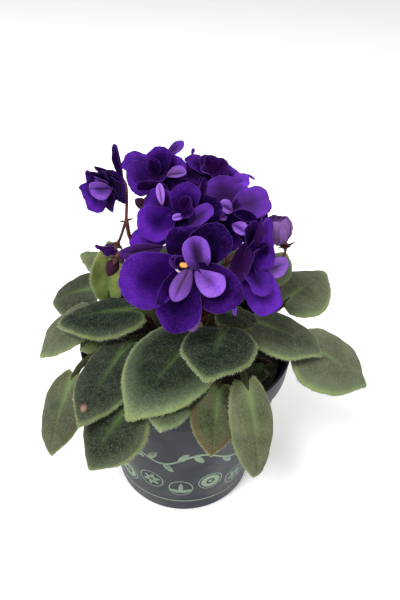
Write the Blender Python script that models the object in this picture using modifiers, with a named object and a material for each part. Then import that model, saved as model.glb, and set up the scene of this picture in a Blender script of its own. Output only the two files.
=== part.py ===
"""A potted African violet with semi-double flowers, standing in a round nursery pot.

The plant is laid out as it grows. A short crown stands in the soil, each leaf is one
blade on its own stalk, and each flower stalk forks into short stems that carry flowers
and buds. The tables LEAVES and FLOWERS hold the growing plan in millimetres and degrees;
every solid is worked out from them. The pot stands on Z = 0 with its axis on Z.
"""

import math
import random
from collections import namedtuple

import bmesh
import bpy
from mathutils import Matrix, Vector

MM = 0.001
CLEARANCE = 0.3 * MM

# Nursery pot: a thin tapered shell with a wider collar under its rim.
POT_HEIGHT = 93 * MM
RIM_RADIUS = 52.5 * MM
NECK_RADIUS = 49.6 * MM
BASE_RADIUS = 38.5 * MM
COLLAR_DEPTH = 12 * MM
POT_WALL = 1.3 * MM
POT_FLOOR = 1.6 * MM
POT_FACETS = 48
FOOT_BEVEL = 1.0 * MM
DRAIN_HOLES = 8
DRAIN_HOLE_RADIUS = 3.5 * MM
DRAIN_CIRCLE_RADIUS = 27 * MM

# Potting mix and the crown of the plant.
SOIL_LEVEL = 84 * MM
SOIL_BUMP = 1.0 * MM
SOIL_FACETS = 32
CROWN_RADIUS = 8.5 * MM
CROWN_TOP = 100 * MM
CROWN_FACETS = 16

# Leaves.
BLADE_THICKNESS = 1.4 * MM
BLADE_CUTS = (6, 4)
LEAF_STALK_RADIUS = 1.5 * MM
LEAF_STALK_RISE = 20
LEAF_STALK_EASE = 0.35
RIB_REACH = 0.22
EGG_SHAPE = 0.10
TIP_POINT = 0.22
NOTCH_WIDTH = 0.3

# Flowers.
PETAL_THICKNESS = 0.8 * MM
FLOWER_CUTS = 7
LOBE_DEPTH = 0.28
LOBE_ROUNDNESS = 0.7
LOWER_LOBE_SHARE = 0.14
RUFFLE = 0.06
INNER_CUTS = 5
INNER_LOBES = 4
INNER_RADIUS_SHARE = 0.27
INNER_BOWL_SHARE = 0.12
ANTHER_LENGTH = 1.5 * MM
ANTHER_RADIUS = 1.0 * MM
BUD_RADIUS_SHARE = 0.38
STEM_RADIUS = 0.6 * MM
STALK_RADIUS = 1.0 * MM
CALYX_RADIUS = 2.2 * MM
CALYX_DEPTH = 3.0 * MM

# Where a leaf grows: bearing round the crown, reach from the axis to the foot of the blade,
# and height there. Then the blade: length, width, pitch where it starts, droop on the way to
# its tip, roll about its rib and swing away from the bearing. curl is how far its edges turn
# down, notch how deep its heart shape is cut as a share of its length, and ring the height at
# which its stalk leaves the crown.
Leaf = namedtuple(
    "Leaf", "name bearing reach height length width pitch droop roll swing curl notch ring"
)
LEAVES = (
    Leaf("leaf_01", -72, 24, 109, 52, 37, 5, 30, 0, -52, 2, 0.09, 94),
    Leaf("leaf_02", -60, 32, 118, 36, 31, 15, 24, 0, -45, 2, 0.16, 98),
    Leaf("leaf_03", -16, 28, 105, 40, 30, 6, 24, 0, -5, 2, 0.09, 94),
    Leaf("leaf_04", -14, 52, 100, 40, 38, -2, 24, 0, -17, 3, 0.09, 91),
    Leaf("leaf_05", 16, 51, 102, 33, 35, 23, 20, 0, 17, 3, 0.09, 94),
    Leaf("leaf_06", -60, 53, 107, 48, 20, -43, 50, 0, -8, 2, 0.09, 92),
    Leaf("leaf_07", -70, 44, 103, 33, 20, -16, 58, -8, -26, 3, 0.09, 88),
    Leaf("leaf_08", -111, 56, 95, 34, 29, -35, 36, -4, -25, 2, 0.09, 90),
    Leaf("leaf_09", -138, 32, 106, 48, 31, -7, 30, 0, 26, 2, 0.09, 93),
    Leaf("leaf_10", -147, 56, 97, 42, 21, -29, 36, 0, 35, 2, 0.09, 88),
    Leaf("leaf_11", -150, 21, 112, 42, 27, 5, 24, 0, -24, 3, 0.09, 97),
    Leaf("leaf_12", 175, 48, 104, 34, 24, -5, 24, 0, 54, 2, 0.09, 91),
    Leaf("leaf_13", 158, 46, 102, 28, 17, 60, -10, 0, -67, -5, 0.06, 96),
    Leaf("leaf_14", 153, 58, 101, 23, 32, -3, 24, 0, 34, 2, 0.09, 92),
    Leaf("leaf_15", 139, 57, 104, 19, 16, 21, 16, 0, 32, 2, 0.09, 96),
    Leaf("leaf_16", -95, 43, 100, 21, 17, 1, 20, 0, -5, 2, 0.09, 92),
    Leaf("leaf_17", 36, 48, 106, 25, 22, 30, 16, 0, 9, 2, 0.09, 96),
    Leaf("leaf_18", -11, 16, 112, 22, 18, 4, 20, 0, -14, 2, 0.09, 97),
    Leaf("leaf_19", -22, 42, 88, 13, 12, -1, 20, 0, -140, 1, 0.09, 87),
    Leaf("leaf_20", 68, 30, 110, 38, 28, 16, 30, 0, 0, 3, 0.09, 96),
    Leaf("leaf_21", 108, 28, 109, 38, 28, 16, 30, 0, 0, 3, 0.09, 96),
    Leaf("leaf_22", 88, 44, 103, 40, 32, 8, 36, 0, 0, 3, 0.09, 91),
    Leaf("leaf_23", 58, 50, 99, 34, 28, -4, 36, 0, -10, 3, 0.09, 89),
    Leaf("leaf_24", 120, 48, 99, 34, 28, -4, 36, 0, 10, 3, 0.09, 89),
    Leaf("leaf_25", -163, 38, 97, 16, 12, 2, 20, 0, 0, 2, 0.09, 92),
)

# Where a flower sits: its middle in x, y and z, the bearing and rise that it faces, its
# width, the depth of its bowl as a share of its width, a turn about its own middle, its
# number of lobes, and whether a second round of petals stands in it.
Flower = namedtuple("Flower", "name x y z bearing rise width bowl spin lobes inner")
FLOWERS = (
    Flower("flower_1", -1, -31, 153, -93, 34, 47, 0.10, 10, 6, True),
    Flower("flower_2", -2, -8, 164, -105, 46, 36, 0.14, 40, 5, True),
    Flower("flower_3", 17, 3, 160, -75, 45, 33, 0.14, 0, 5, True),
    Flower("flower_4", 26, -14, 148, -45, 15, 37, 0.14, 20, 5, True),
    Flower("flower_5", -14, 14, 169, -105, 58, 34, 0.14, 0, 5, True),
    Flower("flower_6", 9, 25, 166, -60, 62, 31, 0.16, 30, 5, True),
    Flower("flower_7", -33, 4, 170, -140, -15, 30, 0.22, 0, 5, True),
    Flower("flower_8", -6, 36, 150, 100, 20, 36, 0.12, 0, 5, True),
    Flower("flower_9", 27, 24, 146, 45, 20, 32, 0.12, 0, 5, True),
    Flower("half_open_1", 43, 4, 145, 170, 50, 14, 0.75, 0, 5, False),
    Flower("half_open_2", -32, -2, 143, -150, -60, 14, 0.75, 0, 5, False),
)
Bud = namedtuple("Bud", "name x y z bearing rise length")
BUDS = (
    Bud("bud_1", -30, -20, 147, -165, -50, 8),
    Bud("bud_2", -22, 26, 150, 140, 10, 8),
    Bud("bud_3", 18, 38, 132, 80, -30, 7),
)

# Each flower stalk: where it leaves the crown, where it forks, and what it carries.
Stalk = namedtuple("Stalk", "name bearing fork carries")
STALKS = (
    Stalk("flower_stalk_1", -75, (-2, -10, 138), ("flower_1", "flower_2", "bud_1")),
    Stalk("flower_stalk_2", -5, (17, 0, 136), ("flower_3", "flower_4", "half_open_1")),
    Stalk("flower_stalk_3", -150, (-26, -6, 159), ("flower_5", "flower_7", "half_open_2")),
    Stalk("flower_stalk_4", 90, (4, 18, 134), ("flower_6", "flower_8", "flower_9", "bud_2", "bud_3")),
)


# ---------------------------------------------------------------- scene and small helpers


def clear_scene():
    for thing in list(bpy.data.objects):
        bpy.data.objects.remove(thing, do_unlink=True)


def make_collection(name):
    collection = bpy.data.collections.new(name)
    bpy.context.scene.collection.children.link(collection)
    return collection


def make_material(name, colour, roughness):
    material = bpy.data.materials.new(name)
    material.use_nodes = True
    shader = material.node_tree.nodes["Principled BSDF"]
    shader.inputs["Base Color"].default_value = (*colour, 1.0)
    shader.inputs["Roughness"].default_value = roughness
    shader.inputs["Metallic"].default_value = 0.0
    return material


def direction(bearing, rise):
    """The unit vector with this bearing round Z and this rise above the floor, in degrees."""
    turn, lift = math.radians(bearing), math.radians(rise)
    return Vector((math.cos(turn) * math.cos(lift), math.sin(turn) * math.cos(lift), math.sin(lift)))


def object_from_bmesh(name, bm, collection):
    mesh = bpy.data.meshes.new(name)
    bm.to_mesh(mesh)
    bm.free()
    thing = bpy.data.objects.new(name, mesh)
    collection.objects.link(thing)
    return thing


def solidify(thing, thickness):
    shell = thing.modifiers.new("thickness", "SOLIDIFY")
    shell.thickness = thickness
    shell.offset = 0.0
    return thing


def as_mesh(thing):
    """The object with its modifiers or its curve made into a plain closed mesh."""
    bpy.context.view_layer.update()
    evaluated = thing.evaluated_get(bpy.context.evaluated_depsgraph_get())
    mesh = bpy.data.meshes.new_from_object(evaluated)
    bm = bmesh.new()
    bm.from_mesh(mesh)
    bmesh.ops.remove_doubles(bm, verts=bm.verts, dist=0.01 * MM)
    bmesh.ops.recalc_face_normals(bm, faces=bm.faces)
    bm.to_mesh(mesh)
    bm.free()
    solid = bpy.data.objects.new(thing.name + "_solid", mesh)
    solid.matrix_world = thing.matrix_world
    thing.users_collection[0].objects.link(solid)
    bpy.data.objects.remove(thing)
    return solid


def fuse(name, pieces, material):
    """One body from pieces that overlap."""
    body, *others = [as_mesh(piece) for piece in pieces]
    for other in others:
        union = body.modifiers.new("join", "BOOLEAN")
        union.operation = "UNION"
        union.object = other
    whole = as_mesh(body)
    for other in others:
        bpy.data.objects.remove(other)
    return finish(whole, name, material)


def finish(thing, name, material):
    thing.name = name
    thing.data.name = name
    thing.data.materials.clear()
    thing.data.materials.append(material)
    thing.data.shade_smooth()
    thing.data.set_sharp_from_angle(angle=math.radians(40))
    return thing


def tube(name, points, radii, collection):
    """A round rod along a line of points, with filled ends."""
    curve = bpy.data.curves.new(name, "CURVE")
    curve.dimensions = "3D"
    curve.bevel_depth = 1.0
    curve.bevel_resolution = 1
    curve.use_fill_caps = True
    line = curve.splines.new("POLY")
    line.points.add(len(points) - 1)
    for spot, place, radius in zip(line.points, points, radii):
        spot.co = (*place, 1.0)
        spot.radius = radius
    thing = bpy.data.objects.new(name, curve)
    collection.objects.link(thing)
    return thing


def bezier(start, leave, arrive, end, steps):
    """Points on the cubic curve from start to end with the two inner handles."""
    points = []
    for step in range(steps + 1):
        t = step / steps
        s = 1 - t
        points.append(start * s**3 + leave * 3 * s * s * t + arrive * 3 * s * t * t + end * t**3)
    return points


def disc_grid(cuts_along, cuts_across):
    """A flat grid of square faces whose outline is the unit circle."""
    bm = bmesh.new()
    bmesh.ops.create_grid(bm, x_segments=cuts_along, y_segments=cuts_across, size=1.0)
    for corner in bm.verts:
        x, y, _ = corner.co
        corner.co = (x * math.sqrt(1 - y * y / 2), y * math.sqrt(1 - x * x / 2), 0)
    return bm


def shape_grid(bm, place):
    for corner in bm.verts:
        corner.co = place(corner.co.x, corner.co.y)
    return bm


# ---------------------------------------------------------------- pot, potting mix, crown


def turned(name, profile, facets, collection):
    """A profile of (radius, height) pairs turned round Z."""
    mesh = bpy.data.meshes.new(name)
    corners = [(radius, 0, height) for radius, height in profile]
    mesh.from_pydata(corners, [(i, i + 1) for i in range(len(corners) - 1)], [])
    thing = bpy.data.objects.new(name, mesh)
    collection.objects.link(thing)
    screw = thing.modifiers.new("turn", "SCREW")
    screw.axis = "Z"
    screw.steps = facets
    screw.render_steps = facets
    screw.use_merge_vertices = True
    screw.merge_threshold = 0.00005
    return thing


def make_pot(collection, cutters, material):
    neck_height = POT_HEIGHT - COLLAR_DEPTH
    profile = [
        (0, POT_FLOOR),
        (BASE_RADIUS - 2 * POT_WALL, POT_FLOOR),
        (BASE_RADIUS - POT_WALL, POT_FLOOR + POT_WALL),
        (NECK_RADIUS - POT_WALL, neck_height),
        (RIM_RADIUS - 2 * POT_WALL, neck_height + 2 * POT_WALL),
        (RIM_RADIUS - POT_WALL, POT_HEIGHT - 0.5 * MM),
        (RIM_RADIUS - 0.8 * MM, POT_HEIGHT),
        (RIM_RADIUS, POT_HEIGHT - 0.6 * MM),
        (RIM_RADIUS - 0.8 * MM, neck_height),
        (NECK_RADIUS, neck_height - 0.8 * MM),
        (BASE_RADIUS, FOOT_BEVEL),
        (BASE_RADIUS - FOOT_BEVEL, 0),
        (0, 0),
    ]
    pot = turned("pot", profile, POT_FACETS, collection)
    for hole in range(DRAIN_HOLES):
        spot = direction(360 / DRAIN_HOLES * (hole + 0.5), 0) * DRAIN_CIRCLE_RADIUS
        bpy.ops.mesh.primitive_cylinder_add(
            vertices=12, radius=DRAIN_HOLE_RADIUS, depth=4 * POT_FLOOR, location=spot
        )
        cutter = bpy.context.object
        cutter.name = f"drain_cutter_{hole + 1}"
        for old in cutter.users_collection:
            old.objects.unlink(cutter)
        cutters.objects.link(cutter)
        cutter.hide_render = True
        cutter.display_type = "WIRE"
        cut = pot.modifiers.new(f"drain_{hole + 1}", "BOOLEAN")
        cut.operation = "DIFFERENCE"
        cut.object = cutter
    pot.data.materials.append(material)
    return pot


def inner_radius(height):
    """The pot's inside radius at a height below the collar."""
    share = (height - FOOT_BEVEL) / (POT_HEIGHT - COLLAR_DEPTH - FOOT_BEVEL)
    return BASE_RADIUS + (NECK_RADIUS - BASE_RADIUS) * min(share, 1) - POT_WALL


def make_soil(collection, material):
    """The root ball: a block that fills the pot, with a crumbly top that is flat in the middle."""
    rings = 4
    bottom = POT_FLOOR + CLEARANCE
    top_radius = inner_radius(SOIL_LEVEL) - 2 * CLEARANCE
    profile = [(top_radius * ring / rings, SOIL_LEVEL) for ring in range(rings + 1)]
    profile += [
        (inner_radius(SOIL_LEVEL / 2) - 2 * CLEARANCE, SOIL_LEVEL / 2),
        (BASE_RADIUS - 2 * POT_WALL - 3 * CLEARANCE, bottom),
        (0, bottom),
    ]
    soil = as_mesh(turned("soil", profile, SOIL_FACETS, collection))
    crumbs = random.Random(4)
    for corner in soil.data.vertices:
        away = math.hypot(corner.co.x, corner.co.y)
        if corner.co.z > SOIL_LEVEL - CLEARANCE and away > top_radius * 0.3:
            corner.co.z += crumbs.uniform(-SOIL_BUMP, SOIL_BUMP)
    return finish(soil, "soil", material)


def make_crown(collection, material):
    foot = SOIL_LEVEL + CLEARANCE
    profile = [
        (0, CROWN_TOP),
        (CROWN_RADIUS * 0.6, CROWN_TOP - 0.8 * MM),
        (CROWN_RADIUS, CROWN_TOP - 2.5 * MM),
        (CROWN_RADIUS, foot + 4 * MM),
        (CROWN_RADIUS * 0.85, foot),
        (0, foot),
    ]
    return finish(as_mesh(turned("crown", profile, CROWN_FACETS, collection)), "crown", material)


# ---------------------------------------------------------------- leaves


def arc(distance, pitch, bend):
    """How far out and up a point lies that has gone this distance along a line that starts
    at this pitch and bends down by this many radians per metre."""
    if abs(bend) < 1e-6:
        return distance * math.cos(pitch), distance * math.sin(pitch)
    turned_to = pitch - bend * distance
    out = (math.sin(pitch) - math.sin(turned_to)) / bend
    up = (math.cos(turned_to) - math.cos(pitch)) / bend
    return out, up


def leaf_foot(leaf):
    spot = direction(leaf.bearing, 0) * leaf.reach * MM
    spot.z = leaf.height * MM
    return spot


def leaf_frame(leaf, along):
    """The point on the rib at this distance from the blade's foot, and the directions along
    the rib, across the blade and out of its face there."""
    heading = direction(leaf.bearing + leaf.swing, 0)
    bend = math.radians(leaf.droop) / (leaf.length * MM)
    pitch = math.radians(leaf.pitch)
    out, up = arc(along, pitch, bend)
    place = leaf_foot(leaf) + heading * out + Vector((0, 0, up))
    angle = pitch - bend * along
    ahead = heading * math.cos(angle) + Vector((0, 0, math.sin(angle)))
    side = Matrix.Rotation(math.radians(leaf.roll), 3, ahead) @ heading.cross(Vector((0, 0, 1)))
    return place, ahead, side, side.cross(ahead)


def blade_point(leaf, x, y):
    """A point of the blade for x from foot to tip and y across, on the unit disc."""
    length, width = leaf.length * MM, leaf.width * MM
    notch = leaf.notch * math.exp(-((y / NOTCH_WIDTH) ** 2)) * max(0, -x) ** 3
    along = length * ((x + 1) / 2 + notch - leaf.notch)
    across = y * width / 2 * (1 - EGG_SHAPE * x) * (1 - TIP_POINT * max(0, x) ** 3)
    place, _, side, face = leaf_frame(leaf, along)
    edge_drop = leaf.curl * MM * (2 * across / width) ** 2
    return place + side * across - face * edge_drop


def make_leaf(leaf, collection, material):
    blade = object_from_bmesh(
        leaf.name + "_blade",
        shape_grid(disc_grid(*BLADE_CUTS), lambda x, y: blade_point(leaf, x, y)),
        collection,
    )
    solidify(blade, BLADE_THICKNESS)
    foot, ahead, _, face = leaf_frame(leaf, 0)
    under = face * (LEAF_STALK_RADIUS * 0.6)
    start = direction(leaf.bearing, 0) * (CROWN_RADIUS + 2.5 * CLEARANCE)
    start.z = leaf.ring * MM
    run = (foot - start).length
    ease = run * LEAF_STALK_EASE
    leave = start + direction(leaf.bearing, LEAF_STALK_RISE) * ease
    path = bezier(start, leave, foot - under - ahead * ease, foot - under, 4)
    rib, _, _, face = leaf_frame(leaf, RIB_REACH * leaf.length * MM)
    path.append(rib - face * (LEAF_STALK_RADIUS * 0.5))
    radii = [LEAF_STALK_RADIUS] * (len(path) - 1) + [LEAF_STALK_RADIUS * 0.55]
    return fuse(leaf.name, [blade, tube(leaf.name + "_stalk", path, radii, collection)], material)


# ---------------------------------------------------------------- flowers, buds and stalks


def flower_axes(flower):
    """The middle of a flower, the way it faces, and two directions across it."""
    middle = Vector((flower.x, flower.y, flower.z)) * MM
    facing = direction(flower.bearing, flower.rise)
    across = direction(flower.bearing + 90, 0)
    return middle, facing, across, facing.cross(across)


def petal_disc(flower, radius, bowl, lobes, lift, x, y):
    """A point on a round of joined petals: lobed, ruffled and rising to its edge."""
    middle, facing, across, over = flower_axes(flower)
    far, turn = math.hypot(x, y), math.atan2(y, x)
    spin = math.radians(flower.spin)
    lobe = abs(math.cos(lobes * turn / 2)) ** LOBE_ROUNDNESS
    lower = 1 - LOWER_LOBE_SHARE * math.sin(turn + spin)
    reach = radius * far * (1 - LOBE_DEPTH + LOBE_DEPTH * lobe * far) * lower
    rise = bowl * far**2 + RUFFLE * radius * math.sin(2 * lobes * turn) * far**3
    side = across * math.cos(turn + spin) + over * math.sin(turn + spin)
    return middle + side * reach + facing * (rise + lift)


def make_flower(flower, collection, outer_material, inner_material):
    width = flower.width * MM
    outer = object_from_bmesh(
        flower.name,
        shape_grid(
            disc_grid(FLOWER_CUTS, FLOWER_CUTS),
            lambda x, y: petal_disc(flower, width / 2, width * flower.bowl, flower.lobes, 0, x, y),
        ),
        collection,
    )
    solidify(outer, PETAL_THICKNESS)
    finish(outer, flower.name, outer_material)
    if not flower.inner:
        return
    lift = PETAL_THICKNESS + CLEARANCE
    radius = width * INNER_RADIUS_SHARE
    bowl = width * (flower.bowl + INNER_BOWL_SHARE)
    inner = object_from_bmesh(
        flower.name + "_inner",
        shape_grid(
            disc_grid(INNER_CUTS, INNER_CUTS),
            lambda x, y: petal_disc(flower, radius, bowl, INNER_LOBES, lift, x, y),
        ),
        collection,
    )
    solidify(inner, PETAL_THICKNESS)
    finish(inner, flower.name + "_inner", inner_material)


def make_anthers(flower, collection, material):
    """The two joined yellow pollen sacs in the middle of an open flower."""
    middle, facing, across, _ = flower_axes(flower)
    lift = 1.5 * PETAL_THICKNESS + 4 * CLEARANCE + ANTHER_LENGTH
    sacs = []
    for side in (-1, 1):
        bm = bmesh.new()
        bmesh.ops.create_uvsphere(bm, u_segments=8, v_segments=6, radius=1.0)
        turn = facing.to_track_quat("Z", "Y").to_matrix()
        for corner in bm.verts:
            round_part = corner.co.xy * ANTHER_RADIUS
            local = Vector((*round_part, corner.co.z * ANTHER_LENGTH))
            aside = across * side * ANTHER_RADIUS * 0.7
            corner.co = middle + facing * lift + aside + turn @ local
        sacs.append(object_from_bmesh(f"{flower.name}_sac", bm, collection))
    return fuse(flower.name + "_anthers", sacs, material)


def bud_axes(bud):
    return Vector((bud.x, bud.y, bud.z)) * MM, direction(bud.bearing, bud.rise)


def make_bud(bud, collection, material):
    """A closed flower: an egg that is blunt at its foot and narrows to its tip."""
    middle, facing = bud_axes(bud)
    turn = facing.to_track_quat("Z", "Y").to_matrix()
    bm = bmesh.new()
    bmesh.ops.create_uvsphere(bm, u_segments=10, v_segments=8, radius=1.0)
    for corner in bm.verts:
        along = corner.co.z
        swell = BUD_RADIUS_SHARE * bud.length * MM * (1 - 0.25 * along)
        local = Vector((corner.co.x * swell, corner.co.y * swell, (along + 1) / 2 * bud.length * MM))
        corner.co = middle + turn @ local
    return finish(object_from_bmesh(bud.name, bm, collection), bud.name, material)


def make_flower_stalk(stalk, blooms, collection, material):
    """A stalk from the crown to its fork, and a stem from there to each flower it carries."""
    start = direction(stalk.bearing, 0) * CROWN_RADIUS * 0.45
    start.z = CROWN_TOP + CLEARANCE
    fork = Vector(stalk.fork) * MM
    run = (fork - start).length
    pieces = [
        tube(
            stalk.name + "_main",
            bezier(
                start,
                start + Vector((0, 0, run * 0.4)),
                fork - Vector((0, 0, run * 0.3)),
                fork,
                5,
            ),
            [STALK_RADIUS] * 5 + [STALK_RADIUS * 0.9],
            collection,
        )
    ]
    for order, name in enumerate(stalk.carries):
        seat, facing, back = blooms[name]
        joint = fork - Vector((0, 0, STALK_RADIUS * (0.8 + 0.7 * order)))
        calyx_top = seat - facing * back
        calyx_foot = calyx_top - facing * CALYX_DEPTH
        reach = (calyx_foot - joint).length
        path = bezier(
            joint,
            joint + Vector((0, 0, reach * 0.3)),
            calyx_foot - facing * reach * 0.35,
            calyx_foot,
            4,
        )
        radii = [STEM_RADIUS] * 5
        path.append(calyx_top)
        radii.append(CALYX_RADIUS)
        pieces.append(tube(f"{stalk.name}_{name}", path, radii, collection))
    return fuse(stalk.name, pieces, material)


# ---------------------------------------------------------------- the whole plant


def main():
    clear_scene()
    parts = make_collection("potted_african_violet")
    cutters = make_collection("cutters")

    black_plastic = make_material("black_plastic", (0.03, 0.03, 0.035), 0.35)
    potting_mix = make_material("potting_mix", (0.02, 0.015, 0.012), 0.95)
    leaf_green = make_material("leaf_green", (0.06, 0.10, 0.04), 0.75)
    stalk_red = make_material("stalk_red", (0.14, 0.04, 0.03), 0.6)
    petal_violet = make_material("petal_violet", (0.07, 0.01, 0.28), 0.7)
    petal_lilac = make_material("petal_lilac", (0.22, 0.08, 0.50), 0.7)
    pollen_yellow = make_material("pollen_yellow", (0.75, 0.40, 0.05), 0.7)

    make_pot(parts, cutters, black_plastic)
    make_soil(parts, potting_mix)
    make_crown(parts, leaf_green)
    for leaf in LEAVES:
        make_leaf(leaf, parts, leaf_green)

    blooms = {}
    for flower in FLOWERS:
        make_flower(flower, parts, petal_violet, petal_lilac)
        middle, facing, _, _ = flower_axes(flower)
        blooms[flower.name] = (middle, facing, PETAL_THICKNESS / 2 + CLEARANCE)
    make_anthers(FLOWERS[0], parts, pollen_yellow)
    for bud in BUDS:
        make_bud(bud, parts, petal_violet)
        foot, facing = bud_axes(bud)
        blooms[bud.name] = (foot, facing, CLEARANCE)
    for stalk in STALKS:
        make_flower_stalk(stalk, blooms, parts, stalk_red)


main()
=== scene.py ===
# %% [markdown]
# # A potted African violet
#
# The plant stands in a black plastic nursery pot: a ring of velvety leaves, and above it a
# crowded head of semi-double violet flowers on thin red stalks. The solid model already
# fixes where every leaf and flower sits. This lesson gives each of them its grown look:
# quilted leaves with pale margins and fine hairs, separate ruffled petals, crumbly soil,
# and a satin black pot with a printed band.

import bmesh
import bpy
import numpy as np
from mathutils import Matrix, Vector


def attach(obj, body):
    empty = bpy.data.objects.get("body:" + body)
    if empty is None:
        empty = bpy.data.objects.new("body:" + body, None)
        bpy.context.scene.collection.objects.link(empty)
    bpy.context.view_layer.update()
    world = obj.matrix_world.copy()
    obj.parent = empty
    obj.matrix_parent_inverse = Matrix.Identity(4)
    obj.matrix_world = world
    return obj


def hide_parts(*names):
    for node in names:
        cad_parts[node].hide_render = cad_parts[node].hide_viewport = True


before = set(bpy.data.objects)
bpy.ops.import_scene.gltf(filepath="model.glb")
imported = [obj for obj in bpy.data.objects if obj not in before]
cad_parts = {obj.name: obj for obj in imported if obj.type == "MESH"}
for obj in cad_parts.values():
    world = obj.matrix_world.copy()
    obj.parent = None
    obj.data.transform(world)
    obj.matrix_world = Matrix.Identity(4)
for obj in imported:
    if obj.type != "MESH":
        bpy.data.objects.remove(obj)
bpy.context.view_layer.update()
MM = 0.001

# %% [markdown]
# ## Camera
#
# The plant is seen from the front and from above, near enough for its far side to look
# smaller. A camera can be aimed with a constraint, but writing its own axes down also
# gives the small roll that a hand puts into it, and leaves nothing to be worked out later.

# %% Camera
CAMERA_PLACE = Vector((6, -193, 255)) * MM
LOOKING_DOWN = np.radians(36)
HAND_ROLL = np.radians(2.3)
LENS_MM = 30
SENSOR_WIDTH_MM = 36
NEAREST_SEEN = 10 * MM


def put_in_scene(name, data):
    """A new object that holds this mesh, camera or lamp, linked into the scene."""
    thing = bpy.data.objects.new(name, data)
    bpy.context.scene.collection.objects.link(thing)
    return thing


def make_camera():
    ahead = Vector((0, np.cos(LOOKING_DOWN), -np.sin(LOOKING_DOWN)))
    right = Vector((1, 0, 0))
    up = right.cross(ahead)
    rolled_right = right * np.cos(HAND_ROLL) + up * np.sin(HAND_ROLL)
    rolled_up = up * np.cos(HAND_ROLL) - right * np.sin(HAND_ROLL)
    data = bpy.data.cameras.new("camera")
    data.lens, data.sensor_width, data.clip_start = LENS_MM, SENSOR_WIDTH_MM, NEAREST_SEEN
    camera = put_in_scene("camera", data)
    axes = Matrix((rolled_right, rolled_up, -ahead)).transposed().to_4x4()
    camera.matrix_world = Matrix.Translation(CAMERA_PLACE) @ axes
    bpy.context.scene.camera = camera
    return camera


print("camera at", make_camera().location)

# %% [markdown]
# ## Sheets, rods and hairs
#
# Nearly everything here is a thin sheet (blade, petal, sepal), a rod (stalk, style, bud) or
# a hair. They could be modelled by hand and bent with modifiers. Working out the points
# directly gives every vertex a known place on its leaf or petal, and that place is kept as
# named values that the finishes read: how near the edge, how far along, which side.
#
# A sheet is laid over a disc: a middle point and rings round it. The rings crowd towards
# the edge, where the ruffles are, and the sheet thins there. Its back is the same disc
# turned over, and a last ring of faces joins the two into one closed skin.

# %% Rings and discs
def unit(vectors):
    lengths = np.linalg.norm(vectors, axis=-1, keepdims=True)
    return vectors / np.maximum(lengths, 1e-12)


def bell(value, width):
    """1 where the value is 0, and nothing beyond about twice the width."""
    return np.exp(-((value / width) ** 2))


def turns(count):
    """Angles that go once round in this many equal steps."""
    return np.arange(count) * 2 * np.pi / count


def ring(count):
    """x and y of this many places round a circle of radius 1."""
    return np.cos(turns(count)), np.sin(turns(count))


def neighbours(count):
    """Each place round a ring with the place after it."""
    return [(a, (a + 1) % count) for a in range(count)]


def ring_walls(rings, spokes, first=0):
    """Four-cornered faces between each ring of points and the next one."""
    faces = []
    for near in first + spokes * np.arange(rings - 1):
        out = near + spokes
        faces += [(near + a, out + a, out + b, near + b) for a, b in neighbours(spokes)]
    return faces


def disc(levels, spokes):
    """x, y and faces of a disc: a middle point, and one ring at each level out."""
    x, y = (np.concatenate([[0], np.outer(levels, way).ravel()]) for way in ring(spokes))
    faces = [(0, 1 + a, 1 + b) for a, b in neighbours(spokes)]
    return x, y, faces + ring_walls(len(levels), spokes, 1)


# %% Thin sheets
RING_CROWDING = 0.85
EDGE_THINNING = 0.55
NUDGE = 1e-3


def thin_sheet(place, rings, spokes, thickness, marks):
    """A closed thin sheet: place(x, y) gives points over a disc, marks(x, y) their values."""
    x, y, faces = disc(np.linspace(0, 1, rings + 1)[1:] ** RING_CROWDING, spokes)
    middle, far, count = place(x, y), np.hypot(x, y), len(x)
    along = place(x + NUDGE, y) - place(x - NUDGE, y)
    across = place(x, y + NUDGE) - place(x, y - NUDGE)
    half = (thickness / 2 * (1 - EDGE_THINNING * far**6))[:, None] * unit(np.cross(along, across))
    back = [tuple(count + corner for corner in reversed(face)) for face in faces]
    last = 1 + (rings - 1) * spokes
    below = count + last
    rim = [(last + a, below + a, below + b, last + b) for a, b in neighbours(spokes)]
    values = {name: np.tile(value + 0 * x, 2) for name, value in marks(x, y).items()}
    values["edge"] = np.tile(far, 2)
    values["back"] = np.repeat([0.0, 1.0], count)
    return np.concatenate([middle + half, middle - half]), faces + back + rim, values


def arc(start, curve, along):
    """How far out and up, and at what angle, a steadily bending line is by now."""
    angle = start - curve * along
    out = (np.sin(start) - np.sin(angle)) / curve
    up = (np.cos(angle) - np.cos(start)) / curve
    return out, up, angle


# %% Rods
ROUND_OFF = 0.4


def bezier(start, leave, arrive, end, steps):
    t = np.linspace(0, 1, steps + 1)[:, None]
    s = 1 - t
    return start * s**3 + leave * 3 * s * s * t + arrive * 3 * s * t * t + end * t**3


def rod(path, radii, sides=8):
    """A closed round rod along a path, with rounded-off ends."""
    path, radii = np.asarray(path, float), np.asarray(radii, float)
    ahead = unit(np.gradient(path, axis=0))
    side = np.cross(ahead[0], (0.3, 0.2, 0.9))
    (x, y), rows = ring(sides), []
    for spot, way, radius in zip(path, ahead, radii):
        side = unit(side - way * np.dot(side, way))
        rows.append(spot + radius * (np.outer(x, side) + np.outer(y, np.cross(way, side))))
    rounding = ahead * radii[:, None] * ROUND_OFF
    tips = np.array([path[0] - rounding[0], path[-1] + rounding[-1]])
    foot, last = len(path) * sides, (len(path) - 1) * sides
    faces = ring_walls(len(path), sides)
    for a, b in neighbours(sides):
        faces += [(foot, b, a), (foot + 1, last + a, last + b)]
    along = np.concatenate([np.repeat(np.linspace(0, 1, len(path)), sides), [0, 1]])
    return np.concatenate(rows + [tips]), faces, {"along": along, "stalk": 1.0}


# %% Hairs
HAIR_CORNERS = (0, 2.1, 4.2)


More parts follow.
